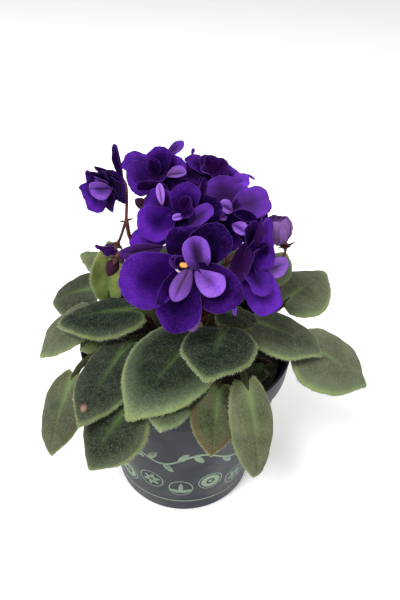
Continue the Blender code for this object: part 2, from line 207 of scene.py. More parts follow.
def hairs(roots, ways, lengths, thickness):
    """Short closed spikes with three sides, one for each root."""
    side = unit(np.cross(ways, (0.31, 0.52, 0.79)))
    over = np.cross(ways, side)
    corners = [side * np.cos(turn) + over * np.sin(turn) for turn in HAIR_CORNERS]
    rows = [roots + thickness * corner for corner in corners] + [roots + ways * lengths[:, None]]
    points = np.stack(rows, axis=1).reshape(-1, 3)
    faces = []
    for a in range(0, len(points), 4):
        b, c, tip = a + 1, a + 2, a + 3
        faces += [(a, c, b), (a, b, tip), (b, c, tip), (c, a, tip)]
    return points, faces, {"hair": 1.0}


# %% Pieces
def face_outwards(mesh, bm):
    """Turn every face outwards and write the result to the mesh."""
    bmesh.ops.recalc_face_normals(bm, faces=bm.faces)
    bm.to_mesh(mesh)
    bm.free()


def make_piece(name, parts, material):
    """One mesh from several (points, faces, values) parts."""
    points, faces, marks, first = [], [], {}, 0
    total = sum(len(part[0]) for part in parts)
    for part_points, part_faces, values in parts:
        after = first + len(part_points)
        points.append(part_points)
        faces += [tuple(int(first + corner) for corner in face) for face in part_faces]
        for mark, value in values.items():
            marks.setdefault(mark, np.zeros(total, np.float32))[first:after] = value
        first = after
    mesh = bpy.data.meshes.new(name)
    mesh.from_pydata(np.concatenate(points).tolist(), [], faces)
    for mark, value in marks.items():
        mesh.attributes.new(mark, "FLOAT", "POINT").data.foreach_set("value", value)
    mesh.materials.append(material)
    bm = bmesh.new()
    bm.from_mesh(mesh)
    face_outwards(mesh, bm)
    mesh.shade_smooth()
    return put_in_scene(name, mesh)


def stand_in(thing, slot, *nodes):
    """The piece stands for these nodes, which are hidden; slot is not used."""
    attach(thing, "root")
    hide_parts(*nodes)
    return thing


# %% [markdown]
# ## Finishes
#
# A finish is built from a few nodes: a named value off the mesh, a noise that breaks it
# up, and colours laid over one another in turn. Small helpers keep each finish short
# enough to read as a recipe. Numbers that are the same all over are set on the shader.

# %% Finish helpers
class Finish:
    """A material being mixed. Colours are red, green, blue between 0 and 1."""

    def __init__(self, name, roughness, sheen=0.0, sheen_tint=(1, 1, 1), specular=0.5):
        self.material = bpy.data.materials.new(name)
        self.material.use_nodes = True
        self.tree = self.material.node_tree
        self.shader = self.tree.nodes["Principled BSDF"]
        self.set(self.shader.inputs["Roughness"], roughness)
        self.set(self.shader.inputs["Sheen Weight"], sheen)
        self.set(self.shader.inputs["Sheen Tint"], sheen_tint)
        self.set(self.shader.inputs["Specular IOR Level"], specular)
        self.place = self.tree.nodes.new("ShaderNodeTexCoord").outputs["Object"]
        self.marks, self.colour = {}, None

    def mark(self, name):
        """The output of the node that reads this named value off the mesh."""
        if name not in self.marks:
            node = self.tree.nodes.new("ShaderNodeAttribute")
            node.attribute_name = name
            self.marks[name] = node.outputs["Fac"]
        return self.marks[name]

    def set(self, socket, value):
        """Feed a socket with a number, a colour, a node's output or a mark given by name."""
        if isinstance(value, str):
            value = self.mark(value)
        if hasattr(value, "is_output"):
            self.tree.links.new(value, socket)
        else:
            socket.default_value = (*value, 1) if isinstance(value, tuple) else value

    def maths(self, kind, a, b=0.0):
        node = self.tree.nodes.new("ShaderNodeMath")
        node.operation = kind
        self.set(node.inputs[0], a)
        self.set(node.inputs[1], b)
        return node.outputs[0]

    def times(self, a, b):
        return self.maths("MULTIPLY", a, b)

    def grain(self, size, detail=3.0, rough=0.5):
        """Noise with lumps of about this size."""
        node = self.tree.nodes.new("ShaderNodeTexNoise")
        sockets = {"Vector": self.place, "Scale": 1 / size, "Detail": detail, "Roughness": rough}
        for name, value in sockets.items():
            self.set(node.inputs[name], value)
        return node.outputs["Fac"]

    def window(self, value, low, high, to_low=0.0, to_high=1.0):
        """Value stretched so that low..high becomes to_low..to_high, with the rest cut off."""
        node = self.tree.nodes.new("ShaderNodeMapRange")
        node.interpolation_type = "SMOOTHSTEP"
        sockets = ("Value", "From Min", "From Max", "To Min", "To Max")
        for name, limit in zip(sockets, (value, low, high, to_low, to_high)):
            self.set(node.inputs[name], limit)
        return node.outputs["Result"]

    def blend(self, share, under, over, kind="MIX"):
        node = self.tree.nodes.new("ShaderNodeMix")
        node.data_type = "RGBA"
        node.blend_type = kind
        sockets = [s for s in node.inputs if s.enabled]
        for socket, value in zip(sockets, (share, under, over)):
            self.set(socket, value)
        return next(s for s in node.outputs if s.enabled)

    def lay(self, share, over, kind="MIX"):
        """Lay this share of a colour over what has been mixed so far."""
        self.colour = self.blend(share, self.colour, over, kind)

    def bump(self, height, strength, depth):
        node = self.tree.nodes.new("ShaderNodeBump")
        node.inputs["Strength"].default_value = strength
        node.inputs["Distance"].default_value = depth
        self.set(node.inputs["Height"], height)
        self.set(self.shader.inputs["Normal"], node.outputs["Normal"])

    def done(self):
        self.set(self.shader.inputs["Base Color"], self.colour)
        return self.material


# %% [markdown]
# ## Pot
#
# A nursery pot is blown or pressed from thin black plastic: tapered so that pots nest,
# with a wider collar at the rim that stops them jamming, and holes in the floor to let
# water out. Turning one outline round the axis makes the wall; the outline has small
# rounded corners, because a sharp edge would never catch a line of light. The floor is
# then filled in between the wall and the holes, above and below, and each hole is lined.

# %% Pot outline
POT_HEIGHT = 93 * MM
RIM_RADIUS = 52.5 * MM
NECK_RADIUS = 49.6 * MM
BASE_RADIUS = 38.5 * MM
COLLAR_DEPTH = 12 * MM
COLLAR_TAPER = 0.8 * MM
COLLAR_SLOPE = 2.6 * MM
COLLAR_UNDERCUT = 0.6 * MM
POT_WALL = 1.3 * MM
POT_FLOOR = 1.6 * MM
FLOOR_INSET = 2.6 * MM
UNDERSIDE_INSET = 8 * MM
NECK_HEIGHT = POT_HEIGHT - COLLAR_DEPTH
POT_SPOKES = 160


def rounded(corner, before, after, size, steps=4):
    """The points of a small round-over at a corner of an outline."""
    corner, before, after = (np.array(p, float) for p in (corner, before, after))
    start = corner + unit(before - corner) * size
    end = corner + unit(after - corner) * size
    t = np.linspace(0, 1, steps + 1)[:, None]
    return start * (1 - t) ** 2 + corner * 2 * t * (1 - t) + end * t * t


def pot_outline():
    """Up the inside, over the rim and down the outside to the underside."""
    corners = [  # radius, height, size of the round-over in mm
        (BASE_RADIUS - FLOOR_INSET, POT_FLOOR, 0),
        (NECK_RADIUS - POT_WALL, NECK_HEIGHT, 0.8),
        (RIM_RADIUS - 2 * POT_WALL, NECK_HEIGHT + COLLAR_SLOPE, 0.8),
        (RIM_RADIUS - POT_WALL, POT_HEIGHT, 0.5),
        (RIM_RADIUS, POT_HEIGHT, 0.6),
        (RIM_RADIUS - COLLAR_TAPER, NECK_HEIGHT, 0.5),
        (NECK_RADIUS, NECK_HEIGHT - COLLAR_UNDERCUT, 0.8),
        (BASE_RADIUS, 0, 1.2),
        (BASE_RADIUS - UNDERSIDE_INSET, 0, 0),
    ]
    points = [np.array(corners[0][:2])]
    for before, (radius, height, size), after in zip(corners, corners[1:], corners[2:]):
        points += list(rounded((radius, height), before[:2], after[:2], size * MM))
    return points


def turned_wall(outline, spokes):
    """A surface of revolution, open at both ends of its outline."""
    x, y = ring(spokes)
    rows = [np.stack([r * x, r * y, np.full(spokes, z)], 1) for r, z in outline]
    return np.concatenate(rows), ring_walls(len(outline), spokes)


# %% Pot with its drain holes
DRAIN_HOLES = 8
DRAIN_CIRCLE_RADIUS = 27 * MM
DRAIN_HOLE_RADIUS = 3.5 * MM
HOLE_SPOKES = 20


def hole_rims(bm, height):
    """Rings of new points round all the drain holes at this height."""
    rims = []
    for hole in range(DRAIN_HOLES):
        spin = 2 * np.pi * (hole + 0.5) / DRAIN_HOLES
        x, y = DRAIN_CIRCLE_RADIUS * np.cos(spin), DRAIN_CIRCLE_RADIUS * np.sin(spin)
        rim_x, rim_y = (DRAIN_HOLE_RADIUS * way for way in ring(HOLE_SPOKES))
        rims.append([bm.verts.new((x + a, y + b, height)) for a, b in zip(rim_x, rim_y)])
    return rims


def make_pot_mesh():
    outline = pot_outline()
    points, faces = turned_wall(outline, POT_SPOKES)
    mesh = bpy.data.meshes.new("pot")
    mesh.from_pydata(points.tolist(), [], [tuple(int(c) for c in face) for face in faces])
    bm = bmesh.new()
    bm.from_mesh(mesh)
    bm.edges.ensure_lookup_table()
    holes = []
    for height, first in ((POT_FLOOR, 0), (0.0, (len(outline) - 1) * POT_SPOKES)):
        rims = hole_rims(bm, height)
        holes.append(rims)
        bm.verts.ensure_lookup_table()
        wall = [bm.verts[first + i] for i in range(POT_SPOKES)]
        edges = [bm.edges.get((wall[a], wall[b])) for a, b in neighbours(POT_SPOKES)]
        for rim in rims:
            edges += [bm.edges.new((rim[a], rim[b])) for a, b in neighbours(HOLE_SPOKES)]
        bmesh.ops.triangle_fill(bm, use_beauty=True, edges=edges)
    for upper, lower in zip(*holes):
        for a, b in neighbours(HOLE_SPOKES):
            bm.faces.new((upper[a], upper[b], lower[b], lower[a]))
    face_outwards(mesh, bm)
    return mesh


def pot_plastic():
    mix = Finish("pot plastic", roughness=0.38, specular=0.16)
    cloud = mix.grain(14 * MM, 4)
    dust = mix.window(mix.grain(0.8 * MM, 5, 0.7), 0.62, 0.8)
    mix.colour = mix.blend(cloud, (0.006, 0.009, 0.014), (0.011, 0.015, 0.022))
    mix.lay(mix.times(dust, 0.25), (0.16, 0.15, 0.14))
    mix.set(mix.shader.inputs["Roughness"], mix.window(cloud, 0.3, 0.7, 0.36, 0.50))
    mix.bump(mix.grain(6 * MM, 2), 0.15, 0.3 * MM)
    return mix.done()


pot_mesh = make_pot_mesh()
pot_mesh.materials.append(pot_plastic())
pot_mesh.shade_smooth()
pot_mesh.set_sharp_from_angle(angle=np.radians(50))
stand_in(put_in_scene("nursery_pot", pot_mesh), "pot_plastic", "pot")
print("pot:", len(pot_mesh.polygons), "faces")

# %% [markdown]
# ## Printed band
#
# Such pots carry a pale print under the collar. This one is a plain pattern of its own: a
# wavy stem with leaves, round tokens at two heights below it, and a thin line under them.
# It could be painted in the pot's finish, but ink is a layer that sits on the plastic, so
# each motif is a thin film between two outlines, wrapped on to the tapered wall a hair's
# breadth above it.
# Places in the print are in mm: how far round from the front, and how high.

# %% Printed band
INK_LIFT = 0.05 * MM
INK_DEPTH = 0.04 * MM
BAND_REACH = 44
VINE_HEIGHT = 53
VINE_SWING = 4.5
VINE_WAVE = 6.5
VINE_THICKNESS = 1.6
VINE_LEAVES = -42 + 8.2 * np.arange(11)
VINE_LEAF_LEAN = 0.95
TOKENS = -36 + 18 * np.arange(5)
TOKEN_HEIGHTS = (25, 29.5)
TOKEN_RING = (6.9, 7.6)
TARGET_RING = (2.6, 5.9)
TARGET_DOT = 1.3
FLOWER_TURNS = np.arange(6) * np.pi / 3 + 0.3
SPROUT_LEAVES = ((7.4, 0.35), (9.0, 1.57), (7.4, 2.79))
LINE_HEIGHT = 10.7
LINE_THICKNESS = 1.0


def on_wall(spots, lift):
    """Places on the wall for these spots of the print."""
    share = spots[:, 1] * MM / NECK_HEIGHT
    radius = BASE_RADIUS + (NECK_RADIUS - BASE_RADIUS) * share + lift
    turn = spots[:, 0] * MM / NECK_RADIUS - np.pi / 2
    return np.stack([radius * np.cos(turn), radius * np.sin(turn), spots[:, 1] * MM], -1)


def ink_film(one, other, closed=True):
    """A thin film of ink between two outlines, which are closed rings or open lines."""
    count = len(one)
    lifts = (INK_LIFT, INK_LIFT + INK_DEPTH)
    points = np.concatenate([on_wall(side, lift) for lift in lifts for side in (one, other)])
    faces = []
    for a, b in neighbours(count) if closed else neighbours(count)[:-1]:
        for p, q in ((0, 1), (2, 3), (0, 2), (1, 3)):
            low, high = p * count, q * count
            faces.append((low + a, low + b, high + b, high + a))
    if not closed:
        faces += [(a, count + a, 3 * count + a, 2 * count + a) for a in (0, count - 1)]
    return points, faces, {}


def filled(outline):
    return ink_film(np.repeat(outline.mean(0)[None], len(outline), 0), outline)


def ink_line(height, thickness, steps):
    """A line of ink right along the band, at height(x)."""
    x = np.linspace(-BAND_REACH, BAND_REACH, steps)
    sides = [np.stack([x, height(x) + half], -1) for half in (thickness / 2, -thickness / 2)]
    return ink_film(*sides, closed=False)


def ink_leaf(x, y, length, width, turn, steps=14):
    """A leaf shape that starts at x, y and points this way."""
    t = turns(steps)
    along = length * (1 - np.cos(t)) / 2
    across = width / 2 * np.sin(t) * (1 - 0.35 * (along / length))
    c, s = np.cos(turn), np.sin(turn)
    return filled(np.stack([x + along * c - across * s, y + along * s + across * c], -1))


def circle(x, y, radius, steps=28):
    return np.stack(ring(steps), -1) * radius + (x, y)


def ink_ring(x, y, radii):
    return ink_film(*(circle(x, y, radius) for radius in radii))


def vine_height(x):
    return VINE_HEIGHT + VINE_SWING * np.sin(x / VINE_WAVE)


def token(x, y, kind):
    """A thin ring with a target, a flower or a sprout in it."""
    shapes = [ink_ring(x, y, TOKEN_RING)]
    if kind == 0:
        shapes += [ink_ring(x, y, TARGET_RING), filled(circle(x, y, TARGET_DOT))]
    elif kind == 1:
        for turn in FLOWER_TURNS:
            shapes.append(ink_leaf(x + np.cos(turn), y + np.sin(turn), 4.6, 3.0, turn))
    else:
        for length, turn in SPROUT_LEAVES:
            shapes.append(ink_leaf(x, y - 4.2, length, 3.6, turn))
    return shapes


def printed_band():
    motifs = [
        ink_line(vine_height, VINE_THICKNESS, 120),
        ink_line(lambda x: LINE_HEIGHT + 0 * x, LINE_THICKNESS, 40),
    ]
    for step, x in enumerate(VINE_LEAVES):
        lean = VINE_LEAF_LEAN if step % 2 else -VINE_LEAF_LEAN
        motifs.append(ink_leaf(x, vine_height(x), 8.5, 4.6, lean))
    for step, x in enumerate(TOKENS):
        motifs += token(x, TOKEN_HEIGHTS[step % 2], step % 3)
    return motifs


def print_ink():
    mix = Finish("print ink", roughness=0.5)
    wear = mix.window(mix.grain(0.7 * MM, 4, 0.7), 0.3, 0.62)
    mix.colour = mix.blend(wear, (0.11, 0.15, 0.11), (0.20, 0.28, 0.19))
    return mix.done()


band = make_piece("pot_print", printed_band(), print_ink())
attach(band, "root")
print("printed band:", len(band.data.polygons), "faces")

# %% [markdown]
# ## Potting mix
#
# Peat-based mix is nearly black when moist, with crumbs, bits of fibre and a few pale
# grains. A flat disc with a bumpy finish would look painted, so the top is a real heap of
# small lumps: a displaced surface with loose crumbs lying on it.

# %% Potting mix
SOIL_LEVEL = 84 * MM
SOIL_RADIUS = 47.4 * MM
SOIL_FOOT = 2 * MM
SOIL_FOOT_RADIUS = 35.3 * MM
WAVES = 14


def lumps(x, y, size, seed):
    """A cheap cloudy height between about -1 and 1: waves of random direction added up."""
    chance = np.random.RandomState(seed)
    total = np.zeros_like(x)
    for _ in range(WAVES):
        turn, phase = chance.uniform(0, 2 * np.pi, 2)
        length = size * chance.uniform(0.6, 1.8)
        total += np.sin((x * np.cos(turn) + y * np.sin(turn)) * 2 * np.pi / length + phase)
    return total / WAVES * 2.2


def soil_top(x, y):
    px, py = x * SOIL_RADIUS, y * SOIL_RADIUS
    height = 0.9 * lumps(px, py, 14 * MM, 1) + 0.5 * lumps(px, py, 4 * MM, 2)
    height += 0.25 * np.abs(lumps(px, py, 1.7 * MM, 3))
    return np.stack([px, py, SOIL_LEVEL + height * MM], -1)


def soil_body(rings, spokes):
    """The bumpy top closed underneath by a tapered block that fits the pot."""
    x, y, faces = disc(np.linspace(0, 1, rings + 1)[1:], spokes)
    top = soil_top(x, y)
    foot_x, foot_y = (SOIL_FOOT_RADIUS * way for way in ring(spokes))
    foot = np.stack([foot_x, foot_y, np.full(spokes, SOIL_FOOT)], 1)
    last, low = 1 + (rings - 1) * spokes, len(top)
    for a, b in neighbours(spokes):
        faces += [(last + a, low + a, low + b, last + b), (low + b, low + a, low + spokes)]
    return np.concatenate([top, foot, [[0, 0, SOIL_FOOT]]]), faces, {}


# %% Crumbs
CRUMB = np.array([(1, 0, 0), (-1, 0, 0), (0, 1, 0), (0, -1, 0), (0, 0, 1), (0, 0, -1)], float)
CRUMB_SIDES = ((0, 2), (2, 1), (1, 3), (3, 0))
CRUMB_FACES = [(a, b, 4) for a, b in CRUMB_SIDES] + [(b, a, 5) for a, b in CRUMB_SIDES]
EVERY_FIBRE = 9
EVERY_PALE_GRAIN = 23


def crumbs(count, seed):
    """Loose angular grains lying on the mix; a few are long fibres, a few pale."""
    chance = np.random.RandomState(seed)
    points, faces, pale = [], [], []
    for i in range(count):
        away, turn = 0.97 * chance.uniform() ** 0.5, chance.uniform(0, 2 * np.pi)
        spot = soil_top(np.array([away * np.cos(turn)]), np.array([away * np.sin(turn)]))[0]
        size = chance.uniform(0.25, 0.85) * MM
        stretch = np.array([1, chance.uniform(0.5, 0.9), chance.uniform(0.4, 0.8)])
        fibre = i % EVERY_FIBRE == 0
        if fibre:
            stretch[0] = 3.5
            size *= 0.55
        shape = CRUMB * size * stretch * chance.uniform(0.8, 1.2, (6, 1))
        spin = Matrix.Rotation(chance.uniform(0, 6.3), 3, "Z")
        spin = spin @ Matrix.Rotation(chance.uniform(-0.5, 0.5), 3, "Y")
        points.append(shape @ np.array(spin).T + spot + (0, 0, size * 0.3))
        faces += [tuple(6 * i + corner for corner in face) for face in CRUMB_FACES]
        if i % EVERY_PALE_GRAIN == 0:
            pale += [1.0] * 6
        else:
            pale += [0.55 if fibre else chance.uniform(0, 0.2)] * 6
    return np.concatenate(points), faces, {"pale": np.array(pale)}


def soil_finish():
    mix = Finish("potting mix", roughness=0.9, specular=0.25)
    cloud = mix.grain(2.2 * MM, 6, 0.7)
    mix.colour = mix.blend(cloud, (0.006, 0.004, 0.003), (0.030, 0.019, 0.012))
    flecks = mix.window(mix.grain(0.7 * MM, 2), 0.66, 0.72)
    mix.lay(mix.times(flecks, 0.5), (0.10, 0.055, 0.030))
    mix.lay("pale", (0.20, 0.12, 0.07))
    mix.bump(mix.grain(0.5 * MM, 5, 0.7), 0.8, 0.4 * MM)
    return mix.done()


soil_parts = [soil_body(rings=60, spokes=200), crumbs(count=1500, seed=5)]
soil = make_piece("potting_mix", soil_parts, soil_finish())
stand_in(soil, "potting_mix", "soil")
print("soil:", len(soil.data.polygons), "faces")

# %% [markdown]
# ## Leaves
#
# A leaf of this plant is a thick oval blade on a fleshy stalk. Its upper side is dark and
# velvety, sunk along the ribs and puffed between them, its margin is a thin pale line, and
# fine white hairs stand all over it. The blade is one thin sheet laid along a drooping
# rib, with the puffing worked out from how far a point is from the nearest side rib.
#
# The table says where each leaf grows, in mm and degrees. The foot of the blade is at
# `reach` and `height` from the pot's axis, in the direction `bearing`. The blade starts at
# the angle `pitch` and bends down by `droop`. `roll` tips it sideways, `swing` turns it
# away from its bearing and `curl` lowers its sides. `notch` is the depth of the notch at
# its foot, and `ring` the height at which its stalk leaves the crown. The rest are colour
# shares: `fresh` for young green, `warm` for a rosy edge, `pale` for a paler, greyer blade
# and `rim` for how far the light green spreads in from the margin; that light green is
# partly the leaf's own paler margin and partly painted light.

# %% Where leaves grow
LEAF_FIELDS = (
    "bearing reach height length width pitch droop roll swing curl notch ring "
    "fresh warm pale rim"
).split()
LEAF_TINTS = LEAF_FIELDS[-4:]
LEAVES = (
    ("leaf_01", -73, 22, 111, 53, 37, 1, 30, -12, -51, 2, 0.09, 94, 0.02, 0, 0, 1),
    ("leaf_02", -58, 32, 120, 37, 31, 12, 24, 3, -45, 2, 0.16, 98, 0, 0, 0, 0.35),
    ("leaf_03", -14, 31, 110, 39, 30, 2, 24, 0, -10, 2, 0.09, 94, 0.04, 0, 0.25, 0.75),
    ("leaf_04", -12, 56, 101, 38, 39, -8, 24, 5, -14, 3, 0.09, 91, 0.05, 0, 0.85, 0.85),
    ("leaf_05", 18, 51, 103, 33, 33, 28, 20, 3, 18, 3, 0.09, 94, 0.05, 0, 0.65, 0.85),
    ("leaf_06", -60, 53, 107, 49, 19, -42, 50, 0, -9, 2, 0.09, 92, 0.18, 0, 0.78, 0.55),
    ("leaf_07", -70, 45, 102, 33, 21, -16, 58, -8, -25, 3, 0.09, 88, 0.15, 0.7, 0.25, 0.6),
    ("leaf_08", -112, 54, 97, 36, 29, -27, 36, -12, -24, 2, 0.09, 90, 0.02, 0.1, 0.04, 0.75),
    ("leaf_09", -139, 33, 106, 47, 29, -3, 30, 6, 26, 2, 0.09, 93, 0, 0, 0.1, 0.4),
    ("leaf_10", -146, 59, 95, 40, 20, -30, 36, -1, 36, 2, 0.09, 88, 0.05, 0.3, 0.6, 0.5),
    ("leaf_11", -152, 23, 116, 43, 28, 0, 24, -2, -24, 3, 0.09, 97, 0, 0, 0, 0.45),
    ("leaf_12", 175, 48, 105, 36, 23, -10, 24, 1, 55, 2, 0.09, 91, 0.05, 0, 0.75, 0.85),
    ("leaf_13", 158, 45, 100, 31, 17, 60, -10, 0, -67, -5, 0.06, 96, 1, 0.1, 0.2, 0.2),
    ("leaf_14", 155, 54, 103, 28, 34, -8, 24, -8, 26, 2, 0.09, 92, 0.02, 0, 0.25, 0.45),
    ("leaf_15", 136, 57, 107, 22, 20, 21, 16, 0, 32, 2, 0.09, 96, 0.3, 0, 0.8, 0.5),
    ("leaf_16", -95, 44, 99, 21, 18, 1, 20, -1, -6, 2, 0.09, 92, 0.2, 0, 0.1, 0.9),
    ("leaf_17", 38, 48, 107, 25, 22, 32, 16, 0, 10, 2, 0.09, 96, 0.15, 0, 0.8, 0.85),
    ("leaf_18", -11, 16, 112, 22, 18, 4, 20, 0, -14, 2, 0.09, 97, 0, 0, 0.05, 0.4),
    ("leaf_19", -22, 42, 88, 13, 12, -1, 20, 0, -140, 1, 0.09, 87, 0.15, 0, 0, 0.5),
    ("leaf_20", 68, 30, 110, 38, 28, 16, 30, 0, 0, 3, 0.09, 96, 0.1, 0, 0.15, 0.5),
    ("leaf_21", 108, 28, 109, 38, 28, 16, 30, 0, 0, 3, 0.09, 96, 0.05, 0, 0.15, 0.5),
    ("leaf_22", 88, 44, 103, 40, 32, 8, 36, 0, 0, 3, 0.09, 91, 0.1, 0, 0.4, 0.5),
    ("leaf_23", 58, 50, 99, 34, 28, -4, 36, 0, -10, 3, 0.09, 89, 0.05, 0, 0.5, 0.5),
    ("leaf_24", 120, 48, 99, 34, 28, -4, 36, 0, 10, 3, 0.09, 89, 0.05, 0.2, 0.5, 0.5),
    ("leaf_25", -163, 38, 97, 16, 12, 2, 20, 0, 0, 2, 0.09, 92, 0.45, 0, 0.1, 0.5),
)


class Leaf:
    """One row of the table in metres and radians, with a seed for its hairs and ripples."""

    def __init__(self, row):
        self.name = row[0]
        for field, value in zip(LEAF_FIELDS, row[1:]):
            setattr(self, field, value)
        for field in ("reach", "height", "length", "width", "curl", "ring"):
            setattr(self, field, getattr(self, field) * MM)
        for field in ("bearing", "pitch", "droop", "roll", "swing"):
            setattr(self, field, np.radians(getattr(self, field)))
        self.seed = int(self.name[-2:])


UP = np.array([0, 0, 1.0])


def flat_way(bearing):
    return np.array([np.cos(bearing), np.sin(bearing), 0.0])


def rib_frame(leaf, along):
    """Place on the rib, and the ways along it, across the blade and out of its face."""
    heading = flat_way(leaf.bearing + leaf.swing)
    out, rise, angle = arc(leaf.pitch, leaf.droop / leaf.length, along)
    foot = flat_way(leaf.bearing) * leaf.reach + UP * leaf.height
    place = foot + heading * out[..., None] + UP * rise[..., None]
    ahead = heading * np.cos(angle)[..., None] + UP * np.sin(angle)[..., None]
    level = np.cross(heading, UP)
    side = level * np.cos(leaf.roll) + np.cross(ahead, level) * np.sin(leaf.roll)
    return place, ahead, side, np.cross(side, ahead)


# %% Ribs and puffing
SIDE_RIBS = 8
SIDE_RIB_SLANT = 0.20
SIDE_RIB_WIDTH = 0.75 * MM
MIDDLE_RIB_WIDTH = 1.5 * MM
MIDDLE_RIB_DEPTH = 0.45
PUFF_HEIGHT = 0.20
SHOULDER_DROP = 1.3
TIP_POINT = 0.045


def rib_marks(leaf, x, y):
    """How near a point is to the middle rib and to a side rib, and how far out it is."""
    share = (x + 1) / 2
    aside = np.minimum(np.abs(y) / np.sqrt(np.maximum(1 - x * x, 0.02)), 1)
    reach = (share - SIDE_RIB_SLANT * aside**1.3) * SIDE_RIBS
    from_side_rib = np.abs(reach - np.round(reach)) / SIDE_RIBS * leaf.length
    middle = bell(np.abs(y) * leaf.width / 2, MIDDLE_RIB_WIDTH * (1.25 - 0.9 * share))
    return middle, bell(from_side_rib, SIDE_RIB_WIDTH) * (1 - aside**4), aside


def blade_point(leaf, x, y):
    far, turn, seed = np.minimum(np.hypot(x, y), 1), np.arctan2(y, x), leaf.seed
    ripple = 0.004 * np.sin(26 * turn + seed) + 0.006 * np.sin(7 * turn + 2.0 * seed)
    teeth = 1 + ripple * far**6
    notch = leaf.notch * bell(y, 0.3) * np.maximum(0, -x) ** 3
    point = TIP_POINT * bell(y, 0.35) * np.maximum(0, x) ** 4
    along = leaf.length * ((x * teeth + 1) / 2 + point + notch - leaf.notch)
    across = y * teeth * leaf.width / 2 * (1 - 0.12 * x) * (1 - 0.30 * np.maximum(0, x) ** 3)
    place, _, side, face = rib_frame(leaf, along)
    middle, side_rib, aside = rib_marks(leaf, x, y)
    puff = PUFF_HEIGHT * (1 - side_rib) * (1 - far**8) * (1 - middle)
    puff = puff * (0.3 + 0.7 * np.sin(np.pi * aside) ** 0.5)
    wave = 0.55 * np.sin(5 * turn + 1.7 * seed) * far**3 + 0.2 * np.sin(13 * turn + seed) * far**6
    sunk = MIDDLE_RIB_DEPTH * middle * (1 - far**6) + SHOULDER_DROP * far**9
    lift = (puff + wave - sunk) * MM - leaf.curl * (2 * across / leaf.width) ** 2
    return place + side * across[..., None] + face * lift[..., None]


# %% Leaf blade
BLADE_THICKNESS = 1.0 * MM
SPOTTED_LEAF = "leaf_09"


def dry_spot(leaf, x, y):
    """1 inside the small tan spot near the tip of one leaf."""
    away = np.hypot((x - 0.74) * 24, (y + 0.12) * 9) / 1.2
    return (leaf.name == SPOTTED_LEAF) * np.exp(-(away**4))


def leaf_blade(leaf, rings=24, spokes=104):
    def marks(x, y):
        middle, side_rib, _ = rib_marks(leaf, x, y)
        _, ahead, side, _ = rib_frame(leaf, leaf.length * (x + 1) / 2)
        outward = unit(ahead * x[:, None] - side * y[:, None] + 1e-6)
        values = {tint: getattr(leaf, tint) for tint in LEAF_TINTS}
        # front: how far the margin faces the front, where the finish adds painted light
        values.update(front=0.5 - 0.5 * outward[:, 1], spot=dry_spot(leaf, x, y))
        values.update(rib=middle, side_rib=side_rib, tipward=(x + 1) / 2)
        return values

    def place(x, y):
        return blade_point(leaf, x, -y)

    return thin_sheet(place, rings, spokes, BLADE_THICKNESS, marks)


# %% Leaf stalks and hairs
CROWN_RADIUS = 8.5 * MM
STALK_START = CROWN_RADIUS - 0.5 * MM
STALK_SUNK = 0.9 * MM
STALK_RISE = 0.35
STALK_STEPS = 14
STALK_RADII_MM = (1.7, 1.45)
FADING_RADII_MM = (1.2, 0.9, 0.5)


def leaf_stalk_path(leaf):
    """From the crown to the foot of the blade, and on under it until it fades away."""
    blade_foot, ahead, _, face = (v[0] for v in rib_frame(leaf, np.array([0.0])))
    start = flat_way(leaf.bearing) * STALK_START + UP * leaf.ring
    foot, ease = blade_foot - face * STALK_SUNK, np.linalg.norm(blade_foot - start) * 0.35
    rising = flat_way(leaf.bearing) * np.cos(STALK_RISE) + UP * np.sin(STALK_RISE)
    path = bezier(start, start + rising * ease, foot - ahead * ease, foot, STALK_STEPS)
    rib, _, _, rib_face = (v[0] for v in rib_frame(leaf, np.array([0.22 * leaf.length])))
    end = rib - rib_face * 0.6 * MM
    more = [path[-1] + (end - path[-1]) * share for share in (0.33, 0.66, 1.0)]
    radii = [np.linspace(*STALK_RADII_MM, STALK_STEPS + 1), FADING_RADII_MM]
    return np.concatenate([path, more]), np.concatenate(radii) * MM


def leaf_hairs(leaf, chance, count=620):
    """A fringe of hairs round the margin and shorter ones over the face."""
    turn = chance.uniform(0, 2 * np.pi, count)
    x, y = 0.995 * np.cos(turn), 0.995 * np.sin(turn)
    roots, inward = blade_point(leaf, x, y), blade_point(leaf, x * 0.93, y * 0.93)
    out = unit(roots - inward) + chance.normal(0, 0.35, (count, 3))
    fringe = hairs(roots, unit(out), chance.uniform(0.6, 1.3, count) * MM, 0.055 * MM)
    away, turn = chance.uniform(0, 0.95, count) ** 0.5, chance.uniform(0, 2 * np.pi, count)
    x, y = away * np.cos(turn), away * np.sin(turn)
    spots = blade_point(leaf, x, y)
    face = rib_frame(leaf, leaf.length * (x + 1) / 2)[3]
    up = unit(face + chance.normal(0, 0.3, (count, 3)))
    down = hairs(spots + face * 0.45 * MM, up, chance.uniform(0.25, 0.5, count) * MM, 0.03 * MM)
    return fringe, down


def stalk_hairs(path, radii, chance, count, length=0.9):
    """Hairs that stand out all round a stalk, up to this many mm long."""
    pick = chance.uniform(0, len(path) - 1.001, count)
    low = pick.astype(int)
    share = (pick - low)[:, None]
    spots = path[low] * (1 - share) + path[low + 1] * share
    ways = unit(path[low + 1] - path[low])
    out = chance.normal(0, 1, (count, 3))
    out = unit(out - ways * np.sum(out * ways, 1, keepdims=True))
    lengths = chance.uniform(0.5, 1.0, count) * length * MM
    return hairs(spots + out * radii[low][:, None] * 0.9, out, lengths, 0.03 * MM)
